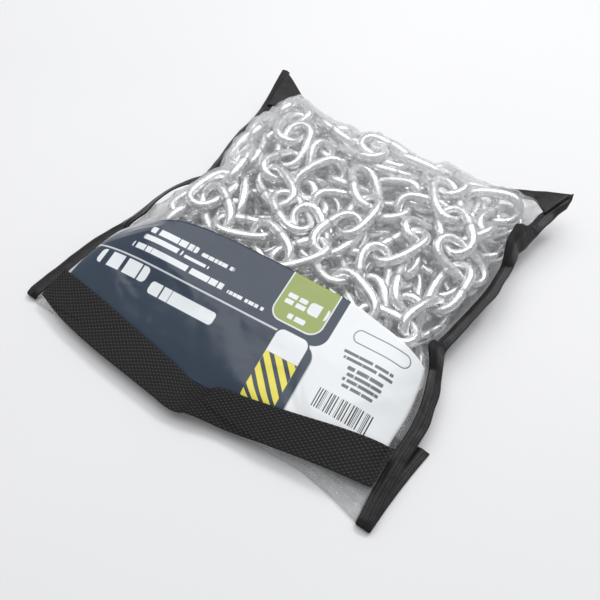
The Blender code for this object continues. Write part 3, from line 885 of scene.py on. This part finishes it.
def painted_glare_corner(add, place):
    """The mask of a painted glare: pale streaks where the sheet's left end is crumpled against the tape."""
    slope = add("Mapping", {"vector_type": "TEXTURE", **GLARE_PLACE}, {"Vector": place})
    drawn = add("Mapping", {"Scale": (0.03, 0.3, 1)}, {"Vector": slope})
    streaks = add("TexNoise", {"Scale": 1.0, "Detail": 3.0}, {"Vector": drawn})
    # Painted glare: how pale the streaks are painted, from 0.2 to 0.7
    milky = add(
        "MapRange", {"From Min": 0.35, "From Max": 0.6, "To Min": 0.2, "To Max": 0.7}, {"Value": streaks}
    )
    return panel_mask(add, slope, *GLARE_PATCH, GLARE_EDGE, milky)


def gravure_printed_film(add, settings):
    """Gravure print on glossy film: flat inks under a hard clear face that mirrors the lamps as broad pale
    patches, with plain bars, a blank tab and common hazard stripes."""
    place = add("UVMap", {"uv_map": "pattern"}).outputs[0]
    paper, navy, pale = settings.ground, settings.panel, linear("#e9eef2")
    panels = (
        (linear("#c4cad1"), LOW_EDGE), (navy, NAVY_LOW), (pale, TAG_EDGE), (settings.tag, TAG),
        (navy, TAB_EDGE), (paper, TAB), (navy, STRIPE_BOX),
    )
    layers = [
        *((ink, panel_mask(add, place, *shape)) for ink, shape in panels),
        *((pale, bar_row(add, place, *row)) for row in PALE_BARS),
        (settings.stripe, hazard_stripes(add, place)),
        *((linear("#6d7378"), bar_row(add, place, *row)) for row in GREY_BARS),
        (linear("#555c63"), panel_mask(add, place, *PILL)),
        (paper, panel_mask(add, place, *PILL_HOLLOW)),
        (linear("#33393f"), upright_lines(add, place)),
        # A painted glare: pale streaks painted over the print at the sheet's crumpled left end
        (linear("#dcdee1"), painted_glare_corner(add, place)),
    ]
    colour = add("Mix", {"data_type": "RGBA", 6: paper, 7: navy}, {0: panel_mask(add, place, *NAVY_TOP)})
    for ink, mask in layers:
        colour = add("Mix", {"data_type": "RGBA", 7: ink}, {0: mask, 6: colour})
    body = add("TexCoord").outputs["Object"]
    # 40 mm swells of a sheet that lies over chain
    sway = add("TexNoise", {"Scale": 26.0, "Detail": 2.0, "Distortion": 0.6}, {"Vector": body})
    bump = add("Bump", {"Strength": 0.35, "Distance": 0.006}, {"Height": sway})
    return add(
        "BsdfPrincipled",
        {"Roughness": 0.2, "Specular IOR Level": 0.42, "Coat Weight": 0.1, "Coat Roughness": 0.06},
        {"Base Color": colour, "Normal": bump},
    )


def matt_white_laminate(add, settings):
    """Matt white laminate, faintly uneven so that it isn't a flat tone."""
    place = add("TexCoord").outputs["Object"]
    cloud = add("TexNoise", {"Scale": 3.0, "Detail": 2.0}, {"Vector": place})
    colour = add("Mix", {"data_type": "RGBA", 6: settings.floor, 7: linear("#e4e5e7")}, {0: cloud})
    return add("BsdfPrincipled", {"Roughness": 0.7}, {"Base Color": colour})


# Settings
def colour_property(name, description, code):
    """A colour that a user can pick, with its default as an sRGB hex value."""
    return bpy.props.FloatVectorProperty(
        name=name, description=description, subtype="COLOR", size=4, default=linear(code)
    )


def number_property(name, description, default, low, high, subtype="NONE"):
    """A number that a user can set between two limits, and the kind of number that it is."""
    return bpy.props.FloatProperty(
        name=name, description=description, default=default, min=low, max=high, subtype=subtype
    )


class ChainSettings(bpy.types.PropertyGroup):
    """The chain in the pouch."""

    count: bpy.props.IntProperty(name="Links", description="Number of links in the heap", default=150, min=20)
    seed: bpy.props.IntProperty(name="Seed", description="Picks the way the chain lies", default=1)
    colour: colour_property("Plating", "Colour of the zinc plating", "#f7f7f7")
    roughness: number_property(
        "Roughness", "How much the plating blurs what it mirrors", 0.3, 0.08, 0.9, "FACTOR"
    )


class PouchSettings(bpy.types.PropertyGroup):
    """The clear films."""

    thickness: number_property("Film", "Thickness of one film, in millimetres", 0.15, 0.05, 0.5)
    tint: colour_property("Tint", "What the film lets through", "#fefefe")
    haze: number_property("Haze", "Milkiness of the film", 0.016, 0.0, 0.5, "FACTOR")


class TrimSettings(bpy.types.PropertyGroup):
    """The bindings and the carrying strap."""

    tape: colour_property("Tape", "Colour of the binding tape", "#121214")
    # The grey painted as a highlight on the crown of each pick
    webbing: colour_property("Webbing", "Colour of the strap's threads", "#484847")
    pick: number_property("Pick", "Spacing of the webbing's picks, in millimetres", 3.9, 0.8, 6.0)
    relief: number_property("Relief", "Height of the webbing's picks, in millimetres", 0.42, 0.0, 1.0)


class PrintSettings(bpy.types.PropertyGroup):
    """The printed sheet's inks."""

    ground: colour_property("Ground", "Unprinted white", "#eef1f4")
    panel: colour_property("Panel", "Dark panels", "#354252")
    tag: colour_property("Tag", "Green tag", "#98a75f")
    stripe: colour_property("Stripe", "Hazard stripes", "#f0e45a")


class StageSettings(bpy.types.PropertyGroup):
    """The table, the lamps and the camera."""

    floor: colour_property("Table", "Colour of the table", "#ececee")
    key: number_property("Key", "Power of the overhead lamp, in watts", 17.5, 0.0, 1000.0, "POWER")
    rim: number_property("Rim", "Power of the lamp behind, in watts", 9.0, 0.0, 1000.0, "POWER")
    fill: number_property("Fill", "Strength of the room's light", 0.37, 0.0, 10.0)


# The part's rows of chain from near to far, how deep below the film they reach, and the y up to which the
# sheet hides them
ROW_CENTRES = (-66.0, -34.7, -3.6, 27.4, 58.4, 89.2, 118.0)
TOP_LAYER = 24
COVERED_Y = -80

# The weld's half length, and how much wider than the wire it is
WELD_HALF = 2.2
WELD_SWELL = 1.13


def extruded(bm, edges):
    """Extrudes a ring of edges on the spot, and returns the new ring's vertices and edges."""
    grown = bmesh.ops.extrude_edge_only(bm, edges=edges)["geom"]
    kinds = (bmesh.types.BMVert, bmesh.types.BMEdge)
    return [[part for part in grown if isinstance(part, kind)] for kind in kinds]


def link_body():
    """One link, bent from round wire and welded in the middle of one leg, flat along X."""
    bm = bmesh.new()
    weld = bm.verts.layers.float.new("weld")
    # One level of subdivision draws a six-sided section and a four-step bend in by these shares
    swell, crown = 1.15, 0.073 * BEND
    leg = STRAIGHT / 2 + crown
    stand = Matrix.Translation((-leg, BEND, 0)) @ Matrix.Rotation(math.pi / 2, 4, "Y")
    bmesh.ops.create_circle(bm, segments=6, radius=RADIUS * swell, matrix=stand)
    edges = list(bm.edges)
    # Rings along the welded leg: where each stands, how much wider it is than the last, and how burnt
    weld_rings = ((-WELD_HALF, 1.0, 0.0), (0.0, WELD_SWELL, 1.0), (WELD_HALF, 1 / WELD_SWELL, 0.0))
    for x, wider, burnt in (*weld_rings, (leg, 1.0, 0.0)):
        ring, edges = extruded(bm, edges)
        bmesh.ops.translate(bm, verts=ring, vec=(x - ring[0].co.x, 0, 0))
        if wider != 1.0:
            bmesh.ops.scale(bm, verts=ring, vec=(1, wider, wider), space=Matrix.Translation((0, -BEND, 0)))
        for vert in ring:
            vert[weld] = burnt
    for end in (leg, -leg):
        spun = bmesh.ops.spin(
            bm, geom=edges, cent=(end, 0, 0), axis=(0, 0, -1), angle=math.pi, steps=4, use_merge=False
        )["geom_last"]
        edges = [part for part in spun if isinstance(part, bmesh.types.BMEdge)]
        if end > 0:
            ring, edges = extruded(bm, edges)
            bmesh.ops.translate(bm, verts=ring, vec=(-2 * leg, 0, 0))
    bmesh.ops.remove_doubles(bm, verts=bm.verts, dist=0.05)
    bmesh.ops.recalc_face_normals(bm, faces=bm.faces)
    return make_mesh("link_body", bm)


def heap_share(centres):
    """Which of the part's nodes each link lies in: the nearest row of the top layer, or the core below it."""
    row = np.argmin(np.abs(centres[:, 1:2] - np.array(ROW_CENTRES)), axis=1)
    depth = film_over(centres[:, 0], centres[:, 1]) - centres[:, 2]
    return np.where((depth < TOP_LAYER) & (centres[:, 1] > COVERED_Y), row, len(ROW_CENTRES))


class OBJECT_OT_chain_heap(bpy.types.Operator):
    """Settles the links and adds them as one piece for each of the part's chain nodes"""

    bl_idname = "object.chain_heap"
    bl_label = "Chain Heap"

    def execute(self, context):
        settings = context.scene.chain_heap
        centres, turns = settle_chain(settings.count, settings.seed)
        link = link_body()
        steel = make_material(zinc_plated_steel, settings)
        share = heap_share(centres)
        nodes = [f"chain_run_{n:02d}" for n in range(1, len(ROW_CENTRES) + 1)] + ["chain_core"]
        for index, node in enumerate(nodes):
            bm = bmesh.new()
            for centre, turn in zip(centres[share == index], turns[share == index]):
                known = len(bm.verts)
                bm.from_mesh(link)
                bm.verts.ensure_lookup_table()
                place = Matrix.Translation(metres(centre)) @ (Matrix(turn) * UNIT).to_4x4()
                bmesh.ops.transform(bm, matrix=place, verts=bm.verts[known:])
            if not bm.verts:
                raise RuntimeError(f"no link lies in {node}")
            piece = make_piece(node.replace("run", "links").replace("core", "links_below"), bm, steel)
            rounded = piece.modifiers.new("rounded", "SUBSURF")
            rounded.levels = rounded.render_levels = 1
            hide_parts(node)
        bpy.data.meshes.remove(link)
        return {"FINISHED"}


# The printed sheet's far and near edges, as x, y
SHEET_TOP = (
    (-166, -103), (-156, -97), (-146, -88), (-129, -77), (-119, -70.5), (-102, -65), (-79, -61), (-47, -58.8),
    (9, -57), (74, -56.5), (93, -57.5), (114, -61), (131, -63.5), (152, -67), (164, -71),
)
SHEET_LOW = ((-174, -170), (-70, -177), (0, -178), (41, -176), (105, -162), (148, -152), (167, -148))

# The mouth's way round the near fold, from the flap's free edge to the front film, as share, y, z
MOUTH_FOLD = (
    (0.0, FLAP_Y, 0.25), (0.45, -150, 0.25), (0.8, -182, 0.3), (0.9, -187.2, 0.8), (0.96, -188.6, 2.3),
    (1.0, NEAR_Y, 4.6),
)

# How often the film is smoothed as it stretches, how high its gathers and crumples stand, and how near the
# edges they fade, as share of the film and as length in the ears
STRETCH_STEPS = 260
GATHER = 3.2
CRUMPLE = 2.6
EDGE_SHARE = 0.03
EAR_FADE = 12

# Where the back film starts in u and v, and how much of them it covers
BACK_U = (0.002, 0.996)
BACK_V = (0.018, 0.977)


@functools.lru_cache(maxsize=None)
def draped_front(count, seed):
    """The front film over the settled links: stretched from high spot to high spot, gathered at its seams."""
    v, u = np.meshgrid(np.linspace(0, 1, FILM_ROWS + 1), np.linspace(0, 1, FILM_COLUMNS + 1), indexing="ij")
    points = front(u, v)
    x, y, z = points[..., 0], points[..., 1], points[..., 2]
    top = wire_top(*settle_chain(count, seed))
    under = np.minimum(sample(top[None], x, y)[0] + 1.0, z + 2.0)[1:-1, 1:-1]
    inside = z[1:-1, 1:-1]
    free = ramp(y, SHEET_TOP_Y + 2, 8)[1:-1, 1:-1]
    for _ in range(STRETCH_STEPS):
        mean = (z[:-2, 1:-1] + z[2:, 1:-1] + z[1:-1, :-2] + z[1:-1, 2:]) / 4
        inside += free * (np.maximum(mean, under) - inside)
    flat = seam_patch(u, v)
    points += ear_share(flat, u, v)[..., None] * (flat - points)
    left, right, _ = to_seams(points, u, v)
    far = np.maximum(to_seams(flat, u, v)[2], 0)
    seams = (
        (waves(3, y + 0.4 * left, 19), left, 30),
        (waves(7, y - 0.5 * right, 17), right, 30),
        (waves(9, x, 21), far, 26),
    )
    gather = sum(
        np.maximum(humps, 0) * np.exp(-reach / fade) * ramp(reach, 0, 7) for humps, reach, fade in seams
    )
    swell = np.maximum(ripples(4, x, y, 46, 0.5, 0.6), 0) * 1.1
    puff = (gather * GATHER + swell) * ramp(y, SHEET_TOP_Y - 4, 10)
    below_sheet = ramp(y, read_off(SHEET_LOW, x) - 1, -5)
    puff += np.maximum(ripples(14, x, y, 15, 0.6, 0.3), 0) * CRUMPLE * below_sheet * ramp(v, 0, 0.01)
    edges = [share / EDGE_SHARE for share in (u, 1 - u, 1 - v)]
    ears = [(left + far - EAR_LEFT) / EAR_FADE, (right + far - EAR_RIGHT) / EAR_FADE]
    puff *= np.clip(np.min(edges + ears, axis=0), 0, 1)
    return points + normals_of(points) * puff[..., None]


def mouth_fold(u, t):
    """The pouch's mouth, turned under at the near end, from its free edge at t = 0 to the front film at 1."""
    lip = front(u, 0 * u)
    yz = smooth_curve(MOUTH_FOLD, t)
    y = yz[..., 0] + (lip[..., 1] - NEAR_Y) * ramp(t, 0.7, 0.3)
    points = np.stack([lip[..., 0], y, yz[..., 1]], -1)
    points[..., 2] += ramp(t, 0.97, 0.03) * (lip[..., 2] - MOUTH_FOLD[-1][2])
    crease = np.maximum(ripples(12, points[..., 0], points[..., 1], 26, 2.0, 1.2), 0)
    points[..., 2] += crease * 1.6 * np.sin(np.pi * ramp(t, 0.45, 0.6))
    return points


def crumpled_back():
    """The back film, crumpled where it leaves the floor, on a grid that is finer towards its edges."""
    share = (1 - np.cos(np.pi * np.linspace(0, 1, BACK_COLUMNS + 1))) / 2
    v, u = np.meshgrid(*[start + span * share for start, span in (BACK_V, BACK_U)], indexing="ij")
    points = back(u, v)
    crumple = np.maximum(ripples(21, points[..., 0], points[..., 1], 30), 0)
    raised = points[..., 2] + crumple * 1.2 * ramp(points[..., 2], 0, 6)
    points[..., 2] = np.minimum(raised, front(u, v)[..., 2] - 0.9)
    return tucked(points)


class OBJECT_OT_pouch_films(bpy.types.Operator):
    """Adds the front film, draped over the links and turned under at its mouth, and the back film"""

    bl_idname = "object.pouch_films"
    bl_label = "Pouch Films"

    def execute(self, context):
        settings, chain = context.scene.chain_pouch, context.scene.chain_heap
        film = make_material(clear_polythene_film, settings)
        columns = np.linspace(0, 1, FILM_COLUMNS + 1)
        fold, u = np.meshgrid(np.arange(FOLD_ROWS) / FOLD_ROWS, columns, indexing="ij")
        front_points = tucked(np.concatenate([mouth_fold(u, fold), draped_front(chain.count, chain.seed)]))
        films = (("clear_film_front", front_points, "draped"), ("clear_film_back", crumpled_back(), "laid"))
        for name, points, held in films:
            piece = make_piece(name, grid_sheet(points, points[..., :2]), film)
            thicken(piece, settings.thickness)
            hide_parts(name.replace("clear_", ""))
        return {"FINISHED"}


# A tape's section as share of its width and of its half thickness: over the top from the inner edge, with a
# crease along it, round the fold and back below
TAPE_SECTION = (
    (0.0, 0.5), (0.03, 0.86), (0.1, 1.0), (0.36, 2.0), (0.4, 2.3), (0.45, 2.2), (0.7, 1.5), (0.88, 1.0),
    (0.96, 0.8), (1.0, 0.0), (0.96, -0.8), (0.88, -1.0), (0.5, -0.92), (0.1, -1.0), (0.03, -0.86),
    (0.0, -0.5), (0.02, 0.0), (0.0, 0.5),
)

# The side tapes, by share of the length from the near end: how far the outer edge hangs, how wide the tape is
# and how far its inner edge laps over the film
LEFT_SHAPE = (
    ((0, 0), (0.3, 0), (0.42, 3), (0.52, 1), (0.66, 6), (0.86, 6), (0.94, 2), (1, 0)),
    ((0, 12), (1, 12)),
    ((0, 0), (0.29, 0), (0.34, 9), (0.39, 6), (0.47, 2), (0.53, 0), (1, 0)),
)
RIGHT_SHAPE = (
    ((0, 0), (0.3, 1), (0.38, 4), (0.46, -1), (0.55, -3), (0.72, -3), (0.79, 0), (1, 0)),
    (
        (0, 12), (0.3, 12), (0.42, 11), (0.5, 10), (0.7, 10.5), (0.77, 9.5), (0.79, 8), (0.82, 10.5),
        (0.9, 12), (1, 14),
    ),
    ((0, 0), (0.37, 0), (0.4, 4), (0.44, 0), (0.73, 0), (0.77, 5), (0.83, 6), (0.87, 1), (0.9, 0), (1, 0)),
)
TAPE_STEPS = 220

# The side tapes' ends, folded under, as share, y, z and share of the way out, and how much of v they draw in
FOLDED_END = (
    (0.0, -112, 1.1, 1.0), (0.35, -138, 1.1, 0.5), (0.7, -170, 1.1, 0.12), (0.86, -184, 1.15, 0.05),
    (0.93, -187.2, 1.7, 0.03), (0.97, -187.8, 3.4, 0.02), (1.0, -186.4, 5.0, 0.0),
)
FOLDED_STEPS = 45
NEAR_END = 0.1

# How far a tape lies above the film where it laps over it, how its edges bend to the tip of an ear, and how
# far the far tape reaches over the side tapes there and stands above them
LAP_HEIGHT = 1.6
EAR_CURVE = 1.3
MITRE_REACH = 5.0
MITRE_HEIGHT = 1.7


def band(inner, outer, thick):
    """A flat tape folded over an edge, as a closed tube between its inner and outer edge lines."""
    width = np.linalg.norm(outer - inner, axis=1, keepdims=True)
    across = unit(outer - inner)
    middle = (inner + outer) / 2
    up = unit(np.cross(np.gradient(middle, axis=0), across))
    up *= np.where(up[:, 2:] < 0, -1, 1)
    rows = [inner + across * width * reach + up * height * thick / 2 for reach, height in TAPE_SECTION]
    along, round_it = np.meshgrid(run_along(middle), np.arange(len(TAPE_SECTION)) * 1.5, indexing="ij")
    return np.stack(rows, 1), np.stack([along, round_it], -1)


def side_edges(seam, turn, shape, ends, short, tuck):
    """Inner and outer edge lines of a side tape, from its folded-under near end to its blunt ear."""
    lean, wide, lap = shape
    v = np.linspace(0, 1, TAPE_STEPS)
    seam_line = side(seam, v)
    along = np.gradient(seam_line, axis=0)
    out = unit(np.stack([along[:, 1], -along[:, 0], 0 * v], 1) * turn)
    lapped = read_off(lap, v)[:, None]
    inner = seam_line + out * (GAP - lapped)
    over = film_over(inner[:, 0], inner[:, 1]) + LAP_HEIGHT
    inner[:, 2] = np.where(lapped[:, 0] > 0, np.maximum(inner[:, 2], over), inner[:, 2])
    sway = 0.6 * waves(31 + turn, seam_line[:, 1], 34)
    outer = seam_line + out * (GAP + read_off(wide, v) + sway)[:, None]
    outer[:, 2] -= read_off(lean, v) + 0.4 * np.maximum(waves(37 + turn, seam_line[:, 1], 21), 0)
    ear = ramp(v, 0.94, 0.06)[:, None] ** EAR_CURVE
    for edge, end in ((outer, ends[0]), (inner, ends[1])):
        edge += ear * (end - edge[-1])
        edge[:, 1] += short * (1 - ramp(v, 0, NEAR_END))
    x = seam_line[0, 0] + turn * (GAP + TAPE_WIDTH / 2)
    yzx = smooth_curve(FOLDED_END, np.arange(FOLDED_STEPS) / FOLDED_STEPS)
    y = yzx[:, 0] + short * ramp(yzx[:, 0], FOLDED_END[0][1], -70)
    middle = np.stack([x + turn * yzx[:, 2] * tuck, y, yzx[:, 1]], 1)
    half = np.array([turn * TAPE_WIDTH / 2, 0, 0])
    return np.concatenate([middle - half, inner]), np.concatenate([middle + half, outer])


def far_edges():
    """Inner and outer edge lines of the far tape, mitred over the side tapes at its ears."""
    u = np.linspace(0, 1, TAPE_STEPS)
    seam_line = cross(FAR_SEAM, u)
    along = np.gradient(seam_line, axis=0)
    out = unit(np.stack([-along[:, 1], along[:, 0], 0 * u], 1))
    inner = seam_line + out * GAP - (0, 0, 1.0)
    outer = inner + out * (TAPE_WIDTH + 0.4 * waves(41, seam_line[:, 0], 40)[:, None])
    # For each ear: its corner, how much of the tape bends to it, and how far along the side seam it reaches
    ears = (
        (LEFT_SEAM, TIP_LEFT + (8.5, -2.5, 0.6), -1, u, 0.1, 0.905),
        (RIGHT_SEAM, TIP_RIGHT + (-0.5, -4.5, 0.6), 1, 1 - u, 0.045, 0.945),
    )
    for seam, corner, turn, start, length, low in ears:
        share = 1 - ramp(start, 0, length)[:, None]
        mitre = side(seam, np.array([low]))[0] + (turn * MITRE_REACH, 0, 0.6)
        bend = int(np.argmin(np.abs(start - length)))
        inner = np.where(share > 0, inner[bend] + share * (mitre - inner[bend]), inner)
        outer += share**EAR_CURVE * (corner - outer[0 if turn < 0 else -1])
        raised = MITRE_HEIGHT * np.minimum(share * 2.5, 1)
        inner[:, 2:] += raised
        outer[:, 2:] += raised
    return inner, outer


class OBJECT_OT_bindings(bpy.types.Operator):
    """Adds the folded tapes along both sides and the far edge, with their ears"""

    bl_idname = "object.bindings"
    bl_label = "Binding Tapes"

    def execute(self, context):
        tape = make_material(black_polypropylene_tape, context.scene.chain_trim)
        left_ends = (TIP_LEFT, TIP_LEFT + (10, 0, 0))
        right_ends = (TIP_RIGHT + (1, -14, -9), TIP_RIGHT)
        edges = {
            "binding_left": side_edges(LEFT_SEAM, -1, LEFT_SHAPE, left_ends, 5.0, 0.0),
            "binding_right": side_edges(RIGHT_SEAM, 1, RIGHT_SHAPE, right_ends, 0.0, 6.5),
            "binding_far": far_edges(),
        }
        for node, (inner, outer) in edges.items():
            points, marks = band(inner, outer, TAPE_THICK)
            piece = make_piece(node.replace("binding", "tape"), ring_sheet(points, marks), tape)
            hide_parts(node)
        return {"FINISHED"}


# The sheet's inset at the tapes, the y at which its columns are spaced, and where its print starts to slant
SHEET_INSET = 0.015
SHEET_MIDDLE_Y = -110.0
SLANT_X, SLANT_Y = 38, -80


def sheet_points(columns, rows):
    """The printed sheet's points and its print's coordinates, a hair above the front film."""
    u = np.linspace(SHEET_INSET, 1 - SHEET_INSET, columns + 1)
    middle = seam_patch(u, row_at(u, SHEET_MIDDLE_Y))[:, 0]
    top, low = (read_off(line, middle) for line in (SHEET_TOP, SHEET_LOW))
    v = np.array([row_at(u, low + share * (top - low)) for share in np.linspace(0, 1, rows + 1)])
    points = front(u, v)
    x, y = np.moveaxis(seam_patch(u, v)[..., :2], -1, 0)
    marks = np.stack([x + PRINT_SLANT * (y - SLANT_Y), y - PRINT_SLANT * (x - SLANT_X)], -1)
    sway = np.maximum(0.7 * ripples(51, points[..., 0], points[..., 1], 60, 0.6, 1.2), -0.3)
    return tucked(points + normals_of(points) * (FILM / 2 + SHEET_GAP + sway)[..., None]), marks


class OBJECT_OT_printed_sheet(bpy.types.Operator):
    """Adds the printed sheet over the near half of the pouch"""

    bl_idname = "object.printed_sheet"
    bl_label = "Printed Sheet"

    def execute(self, context):
        points, marks = sheet_points(SHEET_COLUMNS, SHEET_ROWS)
        print_film = make_material(gravure_printed_film, context.scene.chain_print)
        piece = make_piece("printed_sheet", grid_sheet(points, marks), print_film)
        thicken(piece, SHEET_MM)
        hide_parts("label_panel")
        return {"FINISHED"}


# The strap's edges, as x, y, z: its ends are cut to the tapes, and it is creased a little right of its middle
STRAP_LOWER = (
    (-164, -179.5, 9.5), (-133, -187.2, 10.5), (-97, -192.3, 10.8), (-66, -194.9, 11), (-43, -196.3, 11),
    (-20, -197.8, 10.5), (3.3, -198.4, 10), (14, -195, 9.5), (25.5, -191.8, 9), (46, -187.6, 9),
    (67, -183.4, 9.3), (87.6, -179.3, 9.6), (107, -175.3, 10), (126.5, -171.4, 10), (146, -167.5, 10),
    (161, -164, 10),
)
STRAP_UPPER = (
    (-164, -150, 16), (-130, -154.5, 18), (-100, -158, 19), (-65.5, -162.3, 19.3), (-20, -168, 17.5),
    (12, -171, 16.5), (25, -166, 18), (50, -159.5, 20.3), (78, -153, 22.3), (120, -142.5, 22),
    (161, -132, 19),
)

# Where the crease stands as share of the length, how much it slants, how high it is, and how wide to its left
# and right on a strap of this length
STRAP_CREASE = 0.545
CREASE_SLANT = 0.035
CREASE_HEIGHT = 3.4
CREASE_LEFT, CREASE_RIGHT = 5, 26
STRAP_LENGTH = 325

# The room between the sheet and the strap
STRAP_ROOM = 1.2

# A pick's length as share of its width, how steeply its crown rises, and how thin the strap's hems are
PICK_SHARE = 0.8
CROWN_POWER = 1.7
HEM_THICKNESS = 0.55

# Grid of the strap: steps along it, across its face and across its back
STRAP_COLUMNS = 680
FACE_STEPS = 76
BACK_STEPS = 8


def strap_points(columns, across):
    """Points of the strap's middle layer for each share of its width in across, stiff from edge to edge."""
    share = np.linspace(0, 1, columns + 1)
    edges = []
    for line in (STRAP_LOWER, STRAP_UPPER):
        x = line[0][0] + share * (line[-1][0] - line[0][0])
        edges.append(np.column_stack([x, smooth_curve(line, x)]))
    points = np.stack([edges[0] + t * (edges[1] - edges[0]) for t in across], 1)
    film = film_over(np.clip(points[..., 0], -162, 157), points[..., 1])
    points[..., 2] = np.maximum(points[..., 2], film + FILM / 2 + SHEET_GAP + STRAP_ROOM + STRAP_THICK / 2)
    from_crease = (share[:, None] - STRAP_CREASE - CREASE_SLANT * np.array(across)) * STRAP_LENGTH
    crease_width = np.where(from_crease < 0, CREASE_LEFT, CREASE_RIGHT)
    points[..., 2] += CREASE_HEIGHT * np.maximum(1 - np.abs(from_crease) / crease_width, 0)
    return points


def closed(values):
    """A grid of values with its first column once more at its end."""
    return np.concatenate([values, values[:, :1]], 1)


class OBJECT_OT_strap(bpy.types.Operator):
    """Adds the carrying strap, its picks standing proud in a basket weave"""

    bl_idname = "object.chain_strap"
    bl_label = "Carrying Strap"

    def execute(self, context):
        settings = context.scene.chain_trim
        across = np.concatenate([np.linspace(0, 1, FACE_STEPS + 1), np.linspace(1, 0, BACK_STEPS + 1)])
        upper = np.concatenate([np.ones(FACE_STEPS + 1), -np.ones(BACK_STEPS + 1)])
        line = strap_points(STRAP_COLUMNS, (0.0, 0.5, 1.0))
        normal = unit(np.cross(np.gradient(line[:, 1], axis=0), line[:, 2] - line[:, 0]))
        s, t = np.meshgrid(run_along(line[:, 1]) * UNIT_MM, across * STRAP_WIDTH * UNIT_MM, indexing="ij")
        wave = np.cos(2 * np.pi * s / settings.pick) * np.cos(2 * np.pi * t / (settings.pick * PICK_SHARE))
        crown = np.clip(wave, 0, 1) ** CROWN_POWER * (upper > 0)
        hem = ramp(np.minimum(across, 1 - across), 0, 0.05)
        body = STRAP_THICK / 2 * (HEM_THICKNESS + (1 - HEM_THICKNESS) * np.sqrt(hem))
        thick = body + crown * settings.relief / UNIT_MM
        points = strap_points(STRAP_COLUMNS, across) + normal[:, None, :] * (upper * thick)[..., None]
        # The crowns also carry the webbing's painted highlight
        bm = ring_sheet(closed(points), closed(np.stack([s, t], -1)), {"crown": closed(crown)})
        piece = make_piece("carrying_strap", bm, make_material(black_polypropylene_webbing, settings))
        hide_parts("handle_strap")
        return {"FINISHED"}


# Camera, found from the photograph's edges: 35 degrees to the right, 53 degrees up
AZIMUTH, ELEVATION = math.radians(35.0), math.radians(53.2)
DISTANCE = 577.0
AIM = (18.5, -48.5, 0.0)
SENSOR_MM = 36.0
FOCAL_PIXELS = 650.0
PHOTO_PIXELS = 600.0

# In metres: half the table's width, how far it is below the part, and each lamp's place and width
TABLE_HALF = 3.0
TABLE_DROP = 0.0002
LAMPS = {"overhead_lamp": ((-0.35, 0.3, 1.5), 1.7), "rim_lamp": ((0.3, 1.0, 1.4), 0.4)}


class OBJECT_OT_chain_stage(bpy.types.Operator):
    """Adds the table, the lamps and the camera"""

    bl_idname = "object.chain_stage"
    bl_label = "Stage"

    def execute(self, context):
        scene, settings = context.scene, context.scene.chain_stage
        bm = bmesh.new()
        bmesh.ops.create_grid(bm, x_segments=1, y_segments=1, size=TABLE_HALF)
        bmesh.ops.translate(bm, verts=bm.verts, vec=(0, 0, -TABLE_DROP))
        table = add_object("table", make_mesh("table", bm, make_material(matt_white_laminate, settings)))
        for (name, (place, size)), power in zip(LAMPS.items(), (settings.key, settings.rim)):
            lamp = bpy.data.lights.new(name, "AREA")
            lamp.size, lamp.energy = size, power
            holder = add_object(name, lamp)
            holder.location = place
            holder.rotation_euler = Vector(place).to_track_quat("Z", "Y").to_euler()
        world = bpy.data.worlds.new("room")
        world.use_nodes = True
        glow = world.node_tree.nodes["Background"]
        glow.inputs["Color"].default_value = linear("#ffffff")
        glow.inputs["Strength"].default_value = settings.fill
        scene.world = world
        scene.view_settings.view_transform = "Standard"
        level = math.cos(ELEVATION)
        away = Vector((math.sin(AZIMUTH) * level, -math.cos(AZIMUTH) * level, math.sin(ELEVATION)))
        camera = bpy.data.cameras.new("camera")
        camera.sensor_width = SENSOR_MM
        camera.lens = FOCAL_PIXELS / PHOTO_PIXELS * SENSOR_MM
        view = add_object("camera", camera)
        view.location = Vector(metres(np.array(AIM) + np.array(away) * DISTANCE))
        view.rotation_euler = away.to_track_quat("Z", "Y").to_euler()
        scene.camera = view
        return {"FINISHED"}


class VIEW3D_PT_chain_bag(bpy.types.Panel):
    """Lists the pieces of the bagged chain and their settings"""

    bl_label = "Bagged Chain"
    bl_idname = "VIEW3D_PT_chain_bag"
    bl_space_type = "VIEW_3D"
    bl_region_type = "UI"
    bl_category = "Chain Bag"

    def draw(self, context):
        scene = context.scene
        for operator, settings in PIECES:
            column = self.layout.column(align=True)
            column.operator(operator.bl_idname)
            for name in getattr(scene, settings).bl_rna.properties.keys():
                if name not in ("rna_type", "name"):
                    column.prop(getattr(scene, settings), name)


GROUPS = {
    "chain_heap": ChainSettings,
    "chain_pouch": PouchSettings,
    "chain_trim": TrimSettings,
    "chain_print": PrintSettings,
    "chain_stage": StageSettings,
}
PIECES = (
    (OBJECT_OT_chain_stage, "chain_stage"),
    (OBJECT_OT_chain_heap, "chain_heap"),
    (OBJECT_OT_pouch_films, "chain_pouch"),
    (OBJECT_OT_bindings, "chain_trim"),
    (OBJECT_OT_printed_sheet, "chain_print"),
    (OBJECT_OT_strap, "chain_trim"),
)
CLASSES = (*GROUPS.values(), *(operator for operator, _ in PIECES), VIEW3D_PT_chain_bag)


def register():
    for item in CLASSES:
        bpy.utils.register_class(item)
    for name, group in GROUPS.items():
        setattr(bpy.types.Scene, name, bpy.props.PointerProperty(type=group))


def unregister():
    for name in GROUPS:
        delattr(bpy.types.Scene, name)
    for item in reversed(CLASSES):
        bpy.utils.unregister_class(item)


def main():
    register()
    for operator, _ in PIECES:
        family, name = operator.bl_idname.split(".")
        getattr(getattr(bpy.ops, family), name)()


if __name__ == "__main__":
    main()
